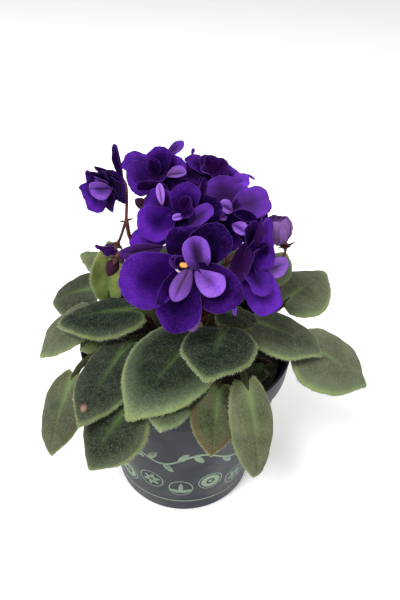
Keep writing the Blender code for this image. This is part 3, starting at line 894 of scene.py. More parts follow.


# %% [markdown]
# ### Leaf finish
#
# The colours are laid on in the order of the comments: the blade, dark green or paler grey
# or fresh; fine down, the pale hairs' own colour with some painted sheen on them; the light
# green that spreads in from the margin, partly the leaf's own paler margin and partly
# painted light, furthest where the margin is turned to the front; a rosy edge; the ribs;
# the margin itself; pale specks; the one dry spot; and last the underside, the stalk and the
# hairs. A fine stipple breaks up the light green, as the down does, and the shader's own
# sheen adds a little more at glancing angles. A painted picture could give all this too, but
# would blur close by.

# %% Leaf finish
def leaf_finish():
    mix = Finish("velvet leaf", 0.75, sheen=0.035, sheen_tint=(0.80, 0.95, 0.80), specular=0.04)
    cloud = mix.window(mix.grain(8 * MM, 4), 0.35, 0.65)
    # the blade
    dark = mix.blend(cloud, (0.003, 0.006, 0.004), (0.010, 0.014, 0.010))
    light = mix.blend(cloud, (0.080, 0.086, 0.056), (0.112, 0.112, 0.072))
    # the pale share gives a paler, greyer blade, more so towards the margin
    paler_blade = mix.times("pale", mix.window("edge", 0.15, 0.85, 0.68, 1.0))
    mix.colour = mix.blend(paler_blade, dark, light)
    fresh = mix.blend(cloud, (0.085, 0.110, 0.022), (0.150, 0.185, 0.045))
    mix.lay("fresh", fresh)
    # down: the pale hairs' own colour, partly painted sheen on them
    down = mix.window(mix.grain(0.8 * MM, 2, 0.6), 0.40, 0.66, 0.0, 0.42)
    down = mix.times(down, mix.window("pale", 0.0, 1.0, 1.0, 1.5))
    mix.lay(down, (0.045, 0.055, 0.036), "ADD")
    # light green from the margin inwards: partly the leaf's own paler margin and partly painted
    # light, which is more where the margin faces the front
    front_light_share = mix.maths("ADD", mix.times("front", 0.30), 0.20)
    toward = mix.maths("ADD", "edge", mix.times(front_light_share, "rim"))
    stipple = mix.window(mix.grain(0.9 * MM, 4, 0.8), 0.40, 0.60, 0.55, 1.0)
    mix.lay(mix.times(mix.window(toward, 0.85, 1.40, 0, 0.95), stipple), (0.095, 0.120, 0.070))
    mix.lay(mix.times(mix.window(toward, 1.20, 1.48, 0, 0.90), stipple), (0.190, 0.250, 0.115))
    # rosy edge
    mix.lay(mix.times("warm", mix.window("edge", 0.6, 1.0)), (0.10, 0.040, 0.020))
    # ribs
    mix.lay(mix.times("side_rib", 0.07), (0.10, 0.15, 0.05))
    footward = mix.window("tipward", 0.1, 0.90, 0.75, 0.0)
    green = mix.blend("pale", (0.070, 0.120, 0.036), (0.170, 0.230, 0.095))
    mix.lay(mix.times("rib", footward), green)
    # margin and specks
    mix.lay(mix.times(mix.window("edge", 0.88, 1.0, 0.0, 0.80), stipple), (0.20, 0.25, 0.09))
    specks = mix.window(mix.grain(0.45 * MM, 2, 0.6), 0.68, 0.76)
    mix.lay(mix.times(specks, 0.08), (0.16, 0.19, 0.13))
    # dry spot
    tan = mix.blend(mix.grain(1 * MM), (0.18, 0.10, 0.07), (0.30, 0.18, 0.13))
    mix.lay("spot", tan)
    # underside, stalk and hairs
    under = mix.blend(cloud, (0.07, 0.10, 0.035), (0.10, 0.13, 0.05))
    mix.lay(mix.times("back", 0.9), under)
    bladeward = mix.window("along", 0.0, 0.9)
    mix.lay("stalk", mix.blend(bladeward, (0.030, 0.006, 0.006), (0.030, 0.036, 0.014)))
    mix.lay("hair", (0.50, 0.55, 0.44))
    mix.bump(mix.grain(0.55 * MM, 3, 0.6), 0.35, 0.25 * MM)
    return mix.done()


velvet = leaf_finish()
leaf_faces = 0
for row in LEAVES:
    leaf = Leaf(row)
    chance = np.random.RandomState(leaf.seed)
    path, radii = leaf_stalk_path(leaf)
    parts = [leaf_blade(leaf), rod(path, radii, sides=12), *leaf_hairs(leaf, chance)]
    parts.append(stalk_hairs(path, radii, chance, count=160))
    piece = make_piece(leaf.name.replace("leaf", "velvet_leaf"), parts, velvet)
    stand_in(piece, "leaf_green", leaf.name)
    leaf_faces += len(piece.data.polygons)
print(len(LEAVES), "leaves,", leaf_faces, "faces")

# %% [markdown]
# ## Crown
#
# All leaf and flower stalks come out of one short stem. It is scaly with the scars of old
# leaves and hidden under the young ones, so a ridged rod with a bumpy finish is enough.

# %% Crown
CROWN_STEPS = 16
CROWN_HEIGHTS_MM = (84.5, 99.5)


def crown_part():
    heights = np.linspace(*CROWN_HEIGHTS_MM, CROWN_STEPS) * MM
    radii = (8.0 + 0.5 * np.sin(np.arange(CROWN_STEPS) * 2.1)) * MM
    radii[-1] = 6 * MM
    points, faces, values = rod(np.outer(heights, UP), radii, sides=40)
    turn = np.arctan2(points[:, 1], points[:, 0])
    points[:, :2] *= 1 + 0.05 * np.sin(turn * 9 + points[:, 2] / MM)[:, None]
    return points, faces, values


def crown_finish():
    mix = Finish("crown", roughness=0.8)
    mix.colour = mix.blend(mix.grain(3 * MM, 5, 0.7), (0.05, 0.045, 0.018), (0.17, 0.16, 0.07))
    mix.bump(mix.grain(1.2 * MM, 4), 0.6, 0.5 * MM)
    return mix.done()


crown = stand_in(make_piece("plant_crown", [crown_part()], crown_finish()), "crown_green", "crown")
print("crown:", len(crown.data.polygons), "faces")

# %% [markdown]
# ## Petals
#
# A petal is a thin sheet that leaves the middle of its flower, bends, cups and ruffles
# towards its edge. Each one is written as a row: its turn about the flower, its length and
# width, how far its tip rises out of the flower, how it bends, cups and rolls, and its
# colour as two numbers, light (0 is the deepest indigo) and pink; light is partly the
# petal's own tone and partly painted light and shade. Two more numbers, where they are
# given, move its root across and up the face of the flower. Copying one petal round would
# be quicker, but these flowers are crowded and no two petals lie alike.
#
# The inner petals are smaller and paler, with a crease along the middle, so the same
# function makes them with a few differences of its own.

# %% Where petals grow
FLOWERS = {
    # name: middle in mm, bearing and rise of the way it faces
    "flower_1": ((-1, -31, 153), -93, 34),
    "flower_2": ((-2, -8, 164), -105, 46),
    "flower_3": ((17, 3, 160), -75, 45),
    "flower_4": ((26, -14, 148), -45, 15),
    "flower_5": ((-14, 14, 169), -105, 58),
    "flower_6": ((9, 25, 166), -60, 62),
    "flower_7": ((-33, 4, 170), -140, -15),
    "flower_8": ((-6, 36, 150), 100, 20),
    "flower_9": ((27, 24, 146), 45, 20),
    "half_open_1": ((43, 4, 145), 150, 78),
    "half_open_2": ((-32, -2, 143), -150, -60),
}
OUTER = {
    # turn length width tilt bend cup roll light pink, then how far its root is moved across and up
    "flower_1": (
        (-91, 26, 17, 4, 30, 1, 0, 0.18, 0),
        (-160, 27, 21, 4, 15, 2, 0, 0.4, 0, 2, -1),
        (-30, 26, 17, 2, 25, 1.5, 10, 0.12, 0.1),
        (42, 22, 15, -1, 15, 1.5, 0, 0, 0),
        (91, 17, 16, -9, 20, 1, 0, 0.06, 0.05, 1, -1),
        (-166, 17, 6, 4, 10, 0.5, -20, 0.28, 0.6, -8, 6.6),
        (-79, 27, 9, -16, 10, 1, 0, 0.75, 0.95),
        (-80, 7, 1.8, 0, -60, 0.5, 0, 0.55, 0.4, 20, -11),
    ),
    "flower_2": (
        (-154, 28, 12, -17, 10, 1, 0, 0.5, 0, 2, -4),
        (164, 20, 11, -9, 15, 1, 0, 0.4, 0.05),
        (-132, 16, 16, 10, 20, 1.5, 0, 0.52, 0, -4, -1),
        (95, 15, 12, 13, 22, 1.5, 0, 0.25, 0, 1, -3),
        (14, 16, 12, -6, 18, 1.5, 0, 0, 0),
        (34, 14, 7, 30, 12, 1, 10, 0.58, 0.15, 3, -5),
        (-35, 16, 15, -8, 20, 1, 0, 0.2, 0),
        (-90, 14, 15, -10, 20, 1, 0, 0.35, 0),
        (88, 11, 3, 22, 10, 1, 30, 0.1, 0.3, 6, 4),
    ),
    "flower_3": (
        (101, 16, 15, 4, 12, 1.5, 0, 0.38, 0.22),
        (62, 15, 14, -6, 15, 1, 0, 0.5, 0.15),
        (11, 19, 14, 7, 21, 1.5, 0, 0.62, 0.18),
        (-45, 20, 15, -4, 20, 1, 0, 0.15, 0),
        (-105, 18, 14, -4, 20, 1, 0, 0.16, 0),
        (172, 13, 12, -4, 20, 1, 0, 0.1, 0),
    ),
    "flower_4": (
        (76, 15, 12, 2, 15, 1.5, 0, 0.1, 0.2),
        (45, 18, 9, 5, 5, 1.5, 0, 0.5, 0.05),
        (0, 14, 15, 26, 19, 2, 0, 0.5, 0, -4, 2),
        (-97, 23, 21, 34, 3, 1, 0, 0.66, 0.02, -3, -2),
        (-108, 17, 14, 48, 10, 1, 0, 0.5, 0.05, -4, -1),
        (-160, 12, 9, 0, 20, 1, 0, 0.05, 0.1),
        (107, 20, 8, 37, 2, 2, 40, 0.16, 0.6, 1, 4),
        (-143, 20, 8, 14, 2, 2, 40, 0.14, 0.75, -1, 7),
    ),
    "flower_5": (
        (159, 20, 12, 4, 17, 1.5, 0, 0.4, 0.05),
        (-150, 14, 19, 15, 24, 1.5, 0, 0.38, 0.05),
        (102, 15, 11, 11, 14, 1.5, 0, 0.22, 0),
        (58, 11, 4.5, 4, 10, 1, 30, 0.62, 0.2, 0, 11),
        (55, 14, 11, 0, 15, 1, 0, 0.35, 0),
        (-30, 12, 12, -8, 15, 1, 0, 0.15, 0.2),
        (92, 8, 14, 73, 13, 1.5, 0, 0.05, 0.25, 1, -9),
    ),
    "flower_6": (
        (122, 15, 9, 5, 15, 1.5, 0, 0.35, 0.1),
        (72, 11, 12, 14, 12, 2, 0, 0.1, 0.55),
        (60, 12, 10, 5, 12, 2, 0, 0.1, 0.5),
        (15, 14, 10, 2, 12, 1, 0, 0.5, 0.05, 1, -4),
        (-25, 9, 7, 9, 9, 1, 20, 0.9, 0.1, 8, -4),
        (-60, 12, 12, -4, 20, 1, 0, 0.2, 0.1),
        (-130, 10, 10, 0, 20, 1, 0, 0.1, 0.2),
        (156, 14, 13, -2, 15, 1, 0, 0.16, 0.35),
        (54, 4, 1.6, 10, 5, 0.5, 0, 0.5, 0.2, -4, 14),
        (-63, 5, 1.4, 5, -40, 0.5, 0, 0.8, 0.1, 18, -2),
    ),
    "flower_7": (
        (-149, 19, 14, 26, 11, 2, 0, 0.42, 0, -1, -2),
        (175, 11, 15, 35, 12, 1.5, 0, 0.12, 0.05),
        (-105, 12, 14, 22, 12, 1.5, 0, 0.1, 0),
        (-172, 14, 2.5, 5, -10, 1, 0, 0.1, 0.1, 6, 8),
        (95, 14, 6, -8, -15, 1.5, 0, 0.08, 0.15, 14, 8),
        (0, 12, 12, 2, 12, 1, 0, 0, 0, 1, 1),
        (28, 16, 12, 0, 15, 1, 0, 0, 0.05),
        (-60, 7, 12, 5, 15, 1, 0, 0, 0),
        (112, 7, 13, 8, 15, 1, 0, 0.04, 0),
    ),
    "flower_8": (
        (95, 16, 15, 2, 20, 1.5, 0, 0.4, 0.05),
        (35, 17, 15, 0, 20, 1.5, 0, 0.5, 0),
        (-30, 18, 17, 2, 20, 1.5, 0, 0.6, 0),
        (-95, 18, 17, 0, 25, 1.5, 0, 0.7, 0.05),
        (-165, 17, 16, 2, 20, 1.5, 0, 0.5, 0),
        (148, 15, 13, -4, 20, 1.5, 0, 0.35, 0.15),
    ),
    "flower_9": (
        (80, 15, 14, 2, 20, 1.5, 0, 0.4, 0.1),
        (18, 16, 14, 0, 20, 1.5, 0, 0.5, 0),
        (-48, 17, 16, 2, 20, 1.5, 0, 0.6, 0),
        (-120, 17, 15, 0, 25, 1.5, 0, 0.65, 0),
        (160, 15, 14, 0, 20, 1.5, 0, 0.45, 0.15),
    ),
    "half_open_1": (
        (10, 15, 10, 74, -105, 1, 0, 1, 0.9, 2, -2),
        (82, 15, 10, 74, -105, 1, 0, 1, 0.85, 2, -2),
        (154, 15, 10, 74, -105, 1, 0, 1, 0.9, 2, -2),
        (-134, 15, 10, 74, -105, 1, 0, 0.9, 0.85, 2, -2),
        (-62, 14, 10, 74, -105, 1, 0, 0.9, 0.9, 2, -2),
    ),
    "half_open_2": (
        (-20, 9, 6, 20, 20, 1, 0, 0.05, 0.5),
        (52, 8, 5, 20, 20, 1, 0, 0.05, 0.5),
        (124, 9, 6, 20, 20, 1, 0, 0.1, 0.5),
        (-164, 10, 6, 10, 20, 1, 0, 0.4, 0.3),
        (-92, 8, 6, 20, 20, 1, 0, 0.05, 0.5),
    ),
}
INNER = {
    "flower_1": (
        (106, 14, 9.5, 30, 8, 3.2, 0, 0.74, 0.12, 7, -1),
        (-111, 15, 7.5, 16, 18, -1.6, 0, 0.66, 0.4, 3, 0),
        (-39, 14.5, 10.5, 18, 13, -1.2, 0, 0.84, 0.1, 5, -0.5),
        (150, 7, 5, 43, 10, 1, 0, 0.3, 0.4),
        (112, 6, 5, 52, 10, 1, 0, 0.05, 0.3),
    ),
    "flower_2": (
        (-150, 5, 3, 20, 15, 0.6, 0, 1, 0.1, 1, -2),
        (108, 9, 3.5, 20, 5, 0.4, 0, 1, 0.3, -9, 1),
        (60, 7, 6, 40, 10, 1, 0, 0.05, 0.4),
        (-20, 7, 6, 35, 10, 1, 0, 0.05, 0.2),
    ),
    "flower_3": (
        (160, 8, 6, 30, 10, 1, 0, 0.95, 0.15, 1, -0.5),
        (-157, 4.5, 4, 20, 10, 0.6, 0, 1, 0.1, -2, -2),
        (-33, 11, 5, 15, 10, 1.5, 0, 0.05, 0, 1, -1),
        (-48, 8, 6, 20, 9, 1, 0, 0.95, 0.1, 0, -6),
        (55, 5, 1.4, 50, 10, 0.3, 0, 0, 1, 1, 1),
    ),
    "flower_4": (
        (-8, 16, 9, 15, 9, 1, 0, 0.84, 0.3, 2, -6.5),
        (40, 8, 6, 35, 10, 1, 0, 0.1, 0.2),
        (-100, 8, 6, 30, 10, 1, 0, 0.15, 0.2),
        (130, 8, 6, 40, 10, 1, 0, 0.15, 0.5),
    ),
    "flower_5": (
        (8, 9.5, 6, 14, 12, 1.5, 0, 0.72, 0.4, 3.5, 1),
        (130, 8, 6, 35, 10, 1, 0, 0.05, 0.1),
        (-70, 8, 7, 30, 10, 1, 0, 0.1, 0.3),
    ),
    "flower_6": (
        (100, 9, 8, 40, 10, 1.5, 0, 0.05, 0.6),
        (20, 9, 8, 35, 10, 1.5, 0, 0.1, 0.5),
        (-80, 9, 8, 30, 10, 1.5, 0, 0.15, 0.2),
        (170, 8, 6, 30, 10, 1.5, 0, 0.3, 0.2),
    ),
    "flower_7": (
        (177, 10, 9, 46, 12, 1.2, 0, 0.78, 0.12, 4, 0.5),
        (169, 8, 4, 20, 10, 0.8, 0, 0.6, 0.3, 2, 2),
        (-110, 8, 6, 30, 10, 1.2, 0, 0.3, 0.1),
    ),
    "flower_8": (
        (60, 10, 8, 32, 10, 1.5, 0, 0.8, 0.15),
        (-60, 11, 8, 28, 10, 1.5, 0, 0.9, 0.15),
        (180, 10, 8, 30, 10, 1.5, 0, 0.75, 0.25),
    ),
    "flower_9": (
        (90, 9, 7, 34, 10, 1.5, 0, 0.75, 0.15),
        (-30, 10, 8, 28, 10, 1.5, 0, 0.9, 0.15),
        (-150, 10, 7, 30, 10, 1.5, 0, 0.8, 0.25),
    ),
}


# %% One petal
PETAL_THICKNESS = 0.4 * MM
INNER_PETAL_THICKNESS = 0.55 * MM
INNER_PETAL_RAISED = 1.8
DEEP_CUP = 2.5
WIDE_PETAL = 9 * MM


def rising(bearing, rise):
    turn, lift = np.radians(bearing), np.radians(rise)
    return np.array([np.cos(turn) * np.cos(lift), np.sin(turn) * np.cos(lift), np.sin(lift)])


def flower_axes(flower):
    """The middle of a flower, the way it faces, and the ways across and up its face."""
    middle, bearing, rise = FLOWERS[flower]
    facing, across = rising(bearing, rise), rising(bearing + 90, 0)
    return np.array(middle) * MM, facing, across, np.cross(facing, across)


def petal(flower, row, number, inner=False):
    """A ruffled sheet from the flower's middle, cupped towards the way the flower faces."""
    turn, length, width, tilt, bend, cup, roll, light, pink, *shift = row
    middle, facing, across, over = flower_axes(flower)
    for way, distance in zip((across, over), shift):
        middle = middle + way * distance * MM
    turn, tilt, bend, roll = np.radians([turn, tilt, bend, roll])
    out = across * np.cos(turn) + over * np.sin(turn)
    side = np.cross(facing, out)
    length, width = length * MM, width * MM
    seed = number * 1.7 + len(flower) + FLOWERS[flower][1]
    raised = INNER_PETAL_RAISED if inner else 0.2 + 0.12 * (number % 5)
    root = middle + facing * raised * MM
    frill = 0.5 if inner else 1
    tip_width = 0
    if inner:
        tip_width = 0.3 if cup > DEEP_CUP else -0.1

    def place(x, y):
        far, spin = np.minimum(np.hypot(x, y), 1.01), np.arctan2(y, x)
        crimp = 0.009 * np.sin(19 * spin + seed) + 0.009 * np.sin(29 * spin + 2 * seed)
        lobes = 0.022 * np.sin(5 * spin + 3 * seed)
        size = 1 + (crimp + lobes) * far**5 * frill
        along = length * ((x * size + 1) / 2)
        foot_taper = 1 - 0.25 * np.maximum(0, -x) ** 4
        sideways = y * size * width / 2 * (1 + 0.22 * x) * foot_taper * (1 + tip_width * x * x)
        run, climb, angle = arc(tilt + bend / 2, bend / length, along)
        up = facing * np.cos(angle)[:, None] - out * np.sin(angle)[:, None]
        flat = side * np.cos(roll) + up * np.sin(roll)
        face = up * np.cos(roll) - side * np.sin(roll)
        ruffle = 0.55 * np.sin(4 * spin + seed) * far**3
        ruffle += 0.30 * np.sin(9 * spin + 2.3 * seed) * far**5
        ruffle += 0.10 * np.sin(23 * spin + seed) * far**9
        ruffle *= min(1, width / 12 / MM, length / 18 / MM) * frill
        crease = (1.1 if inner else 0.35) * bell(y, 0.16) * (1 - far**4)
        lift = (cup * y * y + ruffle - crease) * MM
        spot = root + out * run[:, None] + facing * climb[:, None]
        return spot + flat * sideways[:, None] + face * lift[:, None]

    def marks(x, y):
        return {
            "tipward": (x + 1) / 2,
            "aside": y,
            "spin": np.arctan2(y, x + 1.15),
            "light": light,
            "pink": pink,
            "inner": float(inner),
            "hollow": min(cup, DEEP_CUP) / DEEP_CUP,
        }

    rings, spokes = (12, 72) if width > WIDE_PETAL else (9, 48)
    thickness = INNER_PETAL_THICKNESS if inner else PETAL_THICKNESS
    return thin_sheet(place, rings, spokes, thickness, marks)


# %% [markdown]
# ### Petal finish
#
# Petal cells are tiny cones, which makes the colour deep and velvety. It is darkest in the
# throat, runs out to a brighter violet with a faint painted sparkle, fine glints of light off
# the cells, carries fine veins that fan out from the base, and ends in a very thin pale line
# at the crimped edge. The inner petals are lilac beside a deep groove, which is wider the
# more the petal is cupped; in the groove and the throat of a cupped inner petal the colour is
# painted shade, darker the more it is cupped. The backs are duller. All of it could be
# painted by hand, but a rule for how near the edge or the groove a point lies fits every
# petal at once.

# %% Petal finish
def vein_fan(mix):
    """Bands that fan out from the foot of a petal."""
    fan = mix.tree.nodes.new("ShaderNodeTexWave")
    fan.wave_type, fan.bands_direction = "BANDS", "X"
    fan.inputs["Scale"].default_value = 7.0
    fan.inputs["Distortion"].default_value = 1.6
    spin = mix.tree.nodes.new("ShaderNodeCombineXYZ")
    mix.set(spin.inputs["X"], "spin")
    mix.set(spin.inputs["Y"], mix.times("tipward", 0.25))
    mix.set(fan.inputs["Vector"], spin.outputs[0])
    return fan.outputs["Fac"]


def petal_finish():
    mix = Finish("velvet petal", 0.7, sheen=0.012, sheen_tint=(0.45, 0.25, 1.0), specular=0.01)
    # violet, deep in the throat and bright outwards; light is partly the petal's own tone and
    # partly painted light and shade
    spread = mix.times(mix.maths("SUBTRACT", "light", 0.4), 0.5)
    outward = mix.window(mix.maths("ADD", mix.times("tipward", "edge"), spread), 0.05, 0.70)
    cloud = mix.window(mix.grain(5 * MM, 3), 0.3, 0.7, -0.12, 0.12)
    deep = mix.blend(outward, (0.002, 0.0002, 0.008), (0.007, 0.0005, 0.030))
    bright = mix.blend(outward, (0.016, 0.0008, 0.075), (0.125, 0.021, 0.45))
    mix.colour = mix.blend(mix.maths("ADD", "light", cloud), deep, bright)
    # lilac inner petals, except in the groove and the throat, which get painted shade, darker the
    # more the petal is cupped
    lilac = mix.blend(outward, (0.10, 0.030, 0.22), (0.30, 0.13, 0.60))
    groove_shade = mix.window(mix.maths("ABSOLUTE", "aside"), 0.16, 0.66, 1.0, 0.0)
    groove_shade = mix.times(groove_shade, mix.window("hollow", 0.0, 1.0, 0.35, 1.0))
    groove_shade = mix.times(groove_shade, mix.window("tipward", 0.55, 1.05, 1.0, 0.15))
    throat_shade = mix.times("hollow", mix.window("tipward", 0.05, 0.50, 0.85, 0.0))
    groove_shade = mix.maths("MAXIMUM", groove_shade, throat_shade)
    speckle_grain = mix.grain(0.8 * MM, 4, 0.8)
    pale = mix.times(mix.window("light", 0.5, 1.0), "inner")
    pale = mix.maths("SUBTRACT", pale, mix.times(pale, groove_shade))
    mix.lay(mix.times(pale, mix.window(speckle_grain, 0.40, 0.60, 0.45, 1.0)), lilac)
    # painted shade in the groove and throat of cupped inner petals
    inside = mix.times(groove_shade, mix.window("hollow", 0.0, 1.0, 0.10, 1.0))
    mix.lay(mix.times(inside, "inner"), (0.010, 0.0008, 0.040))
    # pink
    rosy = mix.blend(mix.times("light", "light"), (0.022, 0.001, 0.042), (0.42, 0.22, 0.48))
    mix.lay(mix.times("pink", 0.85), rosy)
    # painted sparkle, fine glints of light off the cells, then veins and edge
    painted_sparkle = mix.window(speckle_grain, 0.48, 0.66, 0.0, 0.16)
    mix.lay(mix.times(painted_sparkle, mix.window(outward, 0.0, 1.0, 0.2, 1.0)), (0.16, 0.06, 0.36))
    mix.lay(mix.window(vein_fan(mix), 0.0, 0.35, 0.25, 0.0), (0.010, 0.001, 0.045))
    mix.lay(mix.window("edge", 0.965, 0.995, 0.0, 0.35), (0.11, 0.045, 0.28))
    # backs, and the folded petals of buds
    mix.lay(mix.times("back", 0.5), (0.028, 0.006, 0.070))
    folded = mix.blend(mix.grain(3 * MM), (0.024, 0.007, 0.015), (0.050, 0.018, 0.030))
    mix.lay("shut", folded)
    mix.bump(mix.grain(1.2 * MM, 4, 0.65), 0.40, 0.30 * MM)
    return mix.done()


velvet_petal = petal_finish()


def make_petals(table, prefix, slot, node_ending, inner):
    """One piece of petals for each flower of the table; returns how many faces they have."""
    faces = 0
    for flower, rows in table.items():
        parts = [petal(flower, row, number, inner) for number, row in enumerate(rows)]
        piece = make_piece(prefix + flower, parts, velvet_petal)
        stand_in(piece, slot, flower + node_ending)
        faces += len(piece.data.polygons)
    return faces


print("outer petals:", make_petals(OUTER, "petals_", "petal_violet", "", False), "faces")
print("inner petals:", make_petals(INNER, "petaloids_", "petal_lilac", "_inner", True), "faces")

# %% [markdown]
# ## Anthers and style
#
# In the front flower two yellow pollen sacs sit side by side on short filaments, and a
# pale hooked style leans out beside them. They are small, but the only warm spot in the
# whole head, so they are real shapes: two swollen rods and a bent thin one.

# %% Anthers and style
SAC_HALF_LENGTH = 1.1 * MM
SAC_RADIUS = 1.05 * MM


def pollen_parts():
    middle, facing, across, over = flower_axes("flower_1")
    parts = []
    for lean in (-1, 1):
        seat = middle + facing * 3.6 * MM + across * (0.6 + 0.5 * lean) * MM + over * 0.3 * MM
        t = np.linspace(-1, 1, 11)
        path = seat + np.outer(t, across + over * 0.25 * lean) * SAC_HALF_LENGTH
        points, faces, _ = rod(path, np.sqrt(1 - t * t * 0.96) * SAC_RADIUS, sides=16)
        parts.append((points, faces, {}))
        filament = bezier(middle, middle + facing * MM, seat - facing * MM, seat, 6)
        parts.append(rod(filament, [0.3 * MM] * 7))
    foot = middle - across * 0.8 * MM - over * 2.4 * MM + facing * 1.6 * MM
    hook = middle - across * 3.4 * MM + over * 1.6 * MM + facing * 3.4 * MM
    leave, arrive = foot + facing * 2 * MM - across * MM, hook + facing * MM - over * 1.5 * MM
    bent = bezier(foot, leave, arrive, hook, 12)
    points, faces, _ = rod(bent, np.linspace(0.48, 0.40, 13) * MM, sides=10)
    parts.append((points, faces, {"style": 1.0}))
    return parts


def pollen_finish():
    mix = Finish("pollen", roughness=0.6, specular=0.3)
    mix.colour = mix.blend(mix.grain(0.6 * MM, 3), (0.62, 0.26, 0.05), (0.80, 0.42, 0.13))
    mix.lay("style", (0.74, 0.58, 0.68))
    mix.lay("stalk", (0.45, 0.32, 0.50))
    mix.bump(mix.grain(0.3 * MM, 2), 0.4, 0.1 * MM)
    return mix.done()


pollen = make_piece("anthers_and_style", pollen_parts(), pollen_finish())
stand_in(pollen, "pollen_yellow", "flower_1_anthers")
print("anthers:", len(pollen.data.polygons), "faces")

# %% [markdown]
# ## Buds
#
# A bud is a closed egg of folded petals. Five overlapping seams run up it, so it is one
# rod swollen into an egg, whose radius dips a little at each seam.

# %% Buds
BUDS = {
    # name: its foot in mm, bearing and rise of the way it points, length
    "bud_1": ((-29, -20, 147.5), -150, -62, 7.5),
    "bud_2": ((-22, 26, 150), 140, 10, 7),
    "bud_3": ((18, 38, 132), 80, -30, 7),
}
SEAMS = 5
SEAM_DEPTH = 0.16


def bud_part(name):
    middle, bearing, rise, length = BUDS[name]
    middle, facing, length = np.array(middle) * MM, rising(bearing, rise), length * MM
    t = np.linspace(0, 1, 22)
    egg = np.sin(np.pi * np.clip(t * 0.9 + 0.08, 0, 1)) ** 0.7 * (1.08 - 0.35 * t)
    radii = np.maximum(0.40 * length * egg, 0.1 * MM)
    points, faces, _ = rod(middle + np.outer(t, facing) * length, radii, sides=40)
    away = points - middle
    height = away @ facing
    flat = away - np.outer(height, facing)
    side = unit(np.cross(facing, (0.2, 0.3, 0.93)))
    turn = np.arctan2(flat @ np.cross(facing, side), flat @ side)
    from_seam = np.mod(turn * SEAMS / (2 * np.pi) + 1.3 * height / length, 1)
    points = points - flat + flat * (1 - SEAM_DEPTH * bell(from_seam, 0.12))[:, None]
    tipward = np.clip(height / length, 0, 1)
    return points, faces, {"light": 0.08, "pink": 0.45, "shut": 0.8, "tipward": tipward}


for name in BUDS:
    piece = make_piece("closed_" + name, [bud_part(name)], velvet_petal)
    stand_in(piece, "petal_violet", name)
print(len(BUDS), "buds")

# %% [markdown]
# ## Flower stalks
# Four stalks rise from the crown, fork between a pair of tiny bracts, and send a thin stem
# to each flower; two stems leave lower down. A stem ends in a calyx: five narrow
# green-brown sepals round the foot of the flower. Stalks are rods along smooth curves,
# sepals and bracts are thin sheets, and fine hairs cover the stalks and stems.

# %% Stalks and what they carry
STALKS = {
    # name: bearing of its foot, place of its fork, what it carries
    "flower_stalk_1": (-75, (-2, -10, 138), ("flower_1", "flower_2", "bud_1")),
    "flower_stalk_2": (-5, (17, 0, 136), ("flower_3", "flower_4", "half_open_1")),
    "flower_stalk_3": (-150, (-26, -6, 159), ("flower_5", "flower_7", "half_open_2")),
    "flower_stalk_4": (90, (4, 18, 134), ("flower_6", "flower_8", "flower_9", "bud_2", "bud_3")),
}
# the step of the main stalk at which these stems leave it, below the fork
LOW_FORKS = {"flower_5": 16, "bud_1": 21}
STALK_FOOT = 99 * MM
MAIN_STEPS = 24
STEM_STEPS = 18
STEM_END = 3.0 * MM
CALYX_LENGTH = 2.9 * MM
SEPALS = 5


def sepal(root, out, face, length, width, bend):
    """A small pointed leaf that starts at root and points out, hollow towards face."""
    side = unit(np.cross(face, out))
    face = np.cross(out, side)

    def place(x, y):
        sideways = y * width / 2 * (1 - 0.45 * x) * (1 - 0.5 * np.maximum(0, x) ** 2)
        run, climb, _ = arc(0, bend / length, length * (x + 1) / 2)
        lift = climb + 0.5 * (sideways / width) ** 2 * width
        return root + out * run[:, None] + side * sideways[:, None] + face * lift[:, None]

    def marks(x, y):
        return {"sepal": 1.0, "tipward": (x + 1) / 2}

    return thin_sheet(place, 5, 20, 0.35 * MM, marks)


def seat_of(name):
    """Where a flower or bud is held, and the way it faces."""
    table, back = (BUDS, 0.2) if name in BUDS else (FLOWERS, 0.5)
    middle, bearing, rise = table[name][:3]
    facing = rising(bearing, rise)
    return np.array(middle) * MM - facing * back * MM, facing


def calyx(foot, facing, first_turn):
    """A small cup that widens up to the flower, with five sepals round it."""
    t = np.linspace(0, 1, 6)
    parts = [rod(foot + np.outer(t, facing) * CALYX_LENGTH, (0.62 + 1.4 * t**1.4) * MM, sides=14)]
    level = unit(np.cross(facing, (0.13, 0.21, 0.97)))
    for turn in turns(SEPALS) + first_turn:
        out = level * np.cos(turn) + np.cross(facing, level) * np.sin(turn)
        root = foot + facing * 1.2 * MM + out * 0.9 * MM
        slope = unit(out * 0.8 + facing * 0.75)
        parts.append(sepal(root, slope, facing, length=4.6 * MM, width=1.7 * MM, bend=0.5))
    return parts


def stalk_parts(name, chance):
    bearing, fork, carried = STALKS[name]
    start = flat_way(np.radians(bearing)) * CROWN_RADIUS * 0.45 + UP * STALK_FOOT
    fork = np.array(fork) * MM
    run = np.linalg.norm(fork - start)
    main = bezier(start, start + UP * run * 0.4, fork - UP * run * 0.3, fork, MAIN_STEPS)
    sway = 0.25 * MM * np.sin(np.arange(MAIN_STEPS - 1) * 0.9)
    main[1:-1] += sway[:, None] * (1, 0.7, 0)
    radii = np.linspace(1.15, 0.85, MAIN_STEPS + 1) * MM
    parts = [rod(main, radii, sides=12), stalk_hairs(main, radii, chance, 500, length=0.8)]
    for order, held in enumerate(carried):
        top, facing = seat_of(held)
        joint = fork - UP * (0.8 + 0.7 * order) * MM
        if held in LOW_FORKS:
            joint = main[LOW_FORKS[held]]
        foot = top - facing * STEM_END
        reach = np.linalg.norm(foot - joint)
        arrive = foot - facing * reach * (0.15 if held in BUDS else 0.35)
        stem = bezier(joint, joint + UP * reach * 0.3, arrive, foot, STEM_STEPS)
        radii = np.linspace(0.68, 0.58, STEM_STEPS + 1) * MM
        parts += [rod(stem, radii, sides=10), stalk_hairs(stem, radii, chance, 200, length=0.7)]
        parts += calyx(foot, facing, order)
    for turn in (0.6, 3.8):
        out = np.array([np.cos(turn), np.sin(turn), 0.5])
        root = fork - UP * 1.2 * MM + out * 0.6 * MM
        parts.append(sepal(root, unit(out), UP, length=2.8 * MM, width=1.3 * MM, bend=0.6))
    return parts


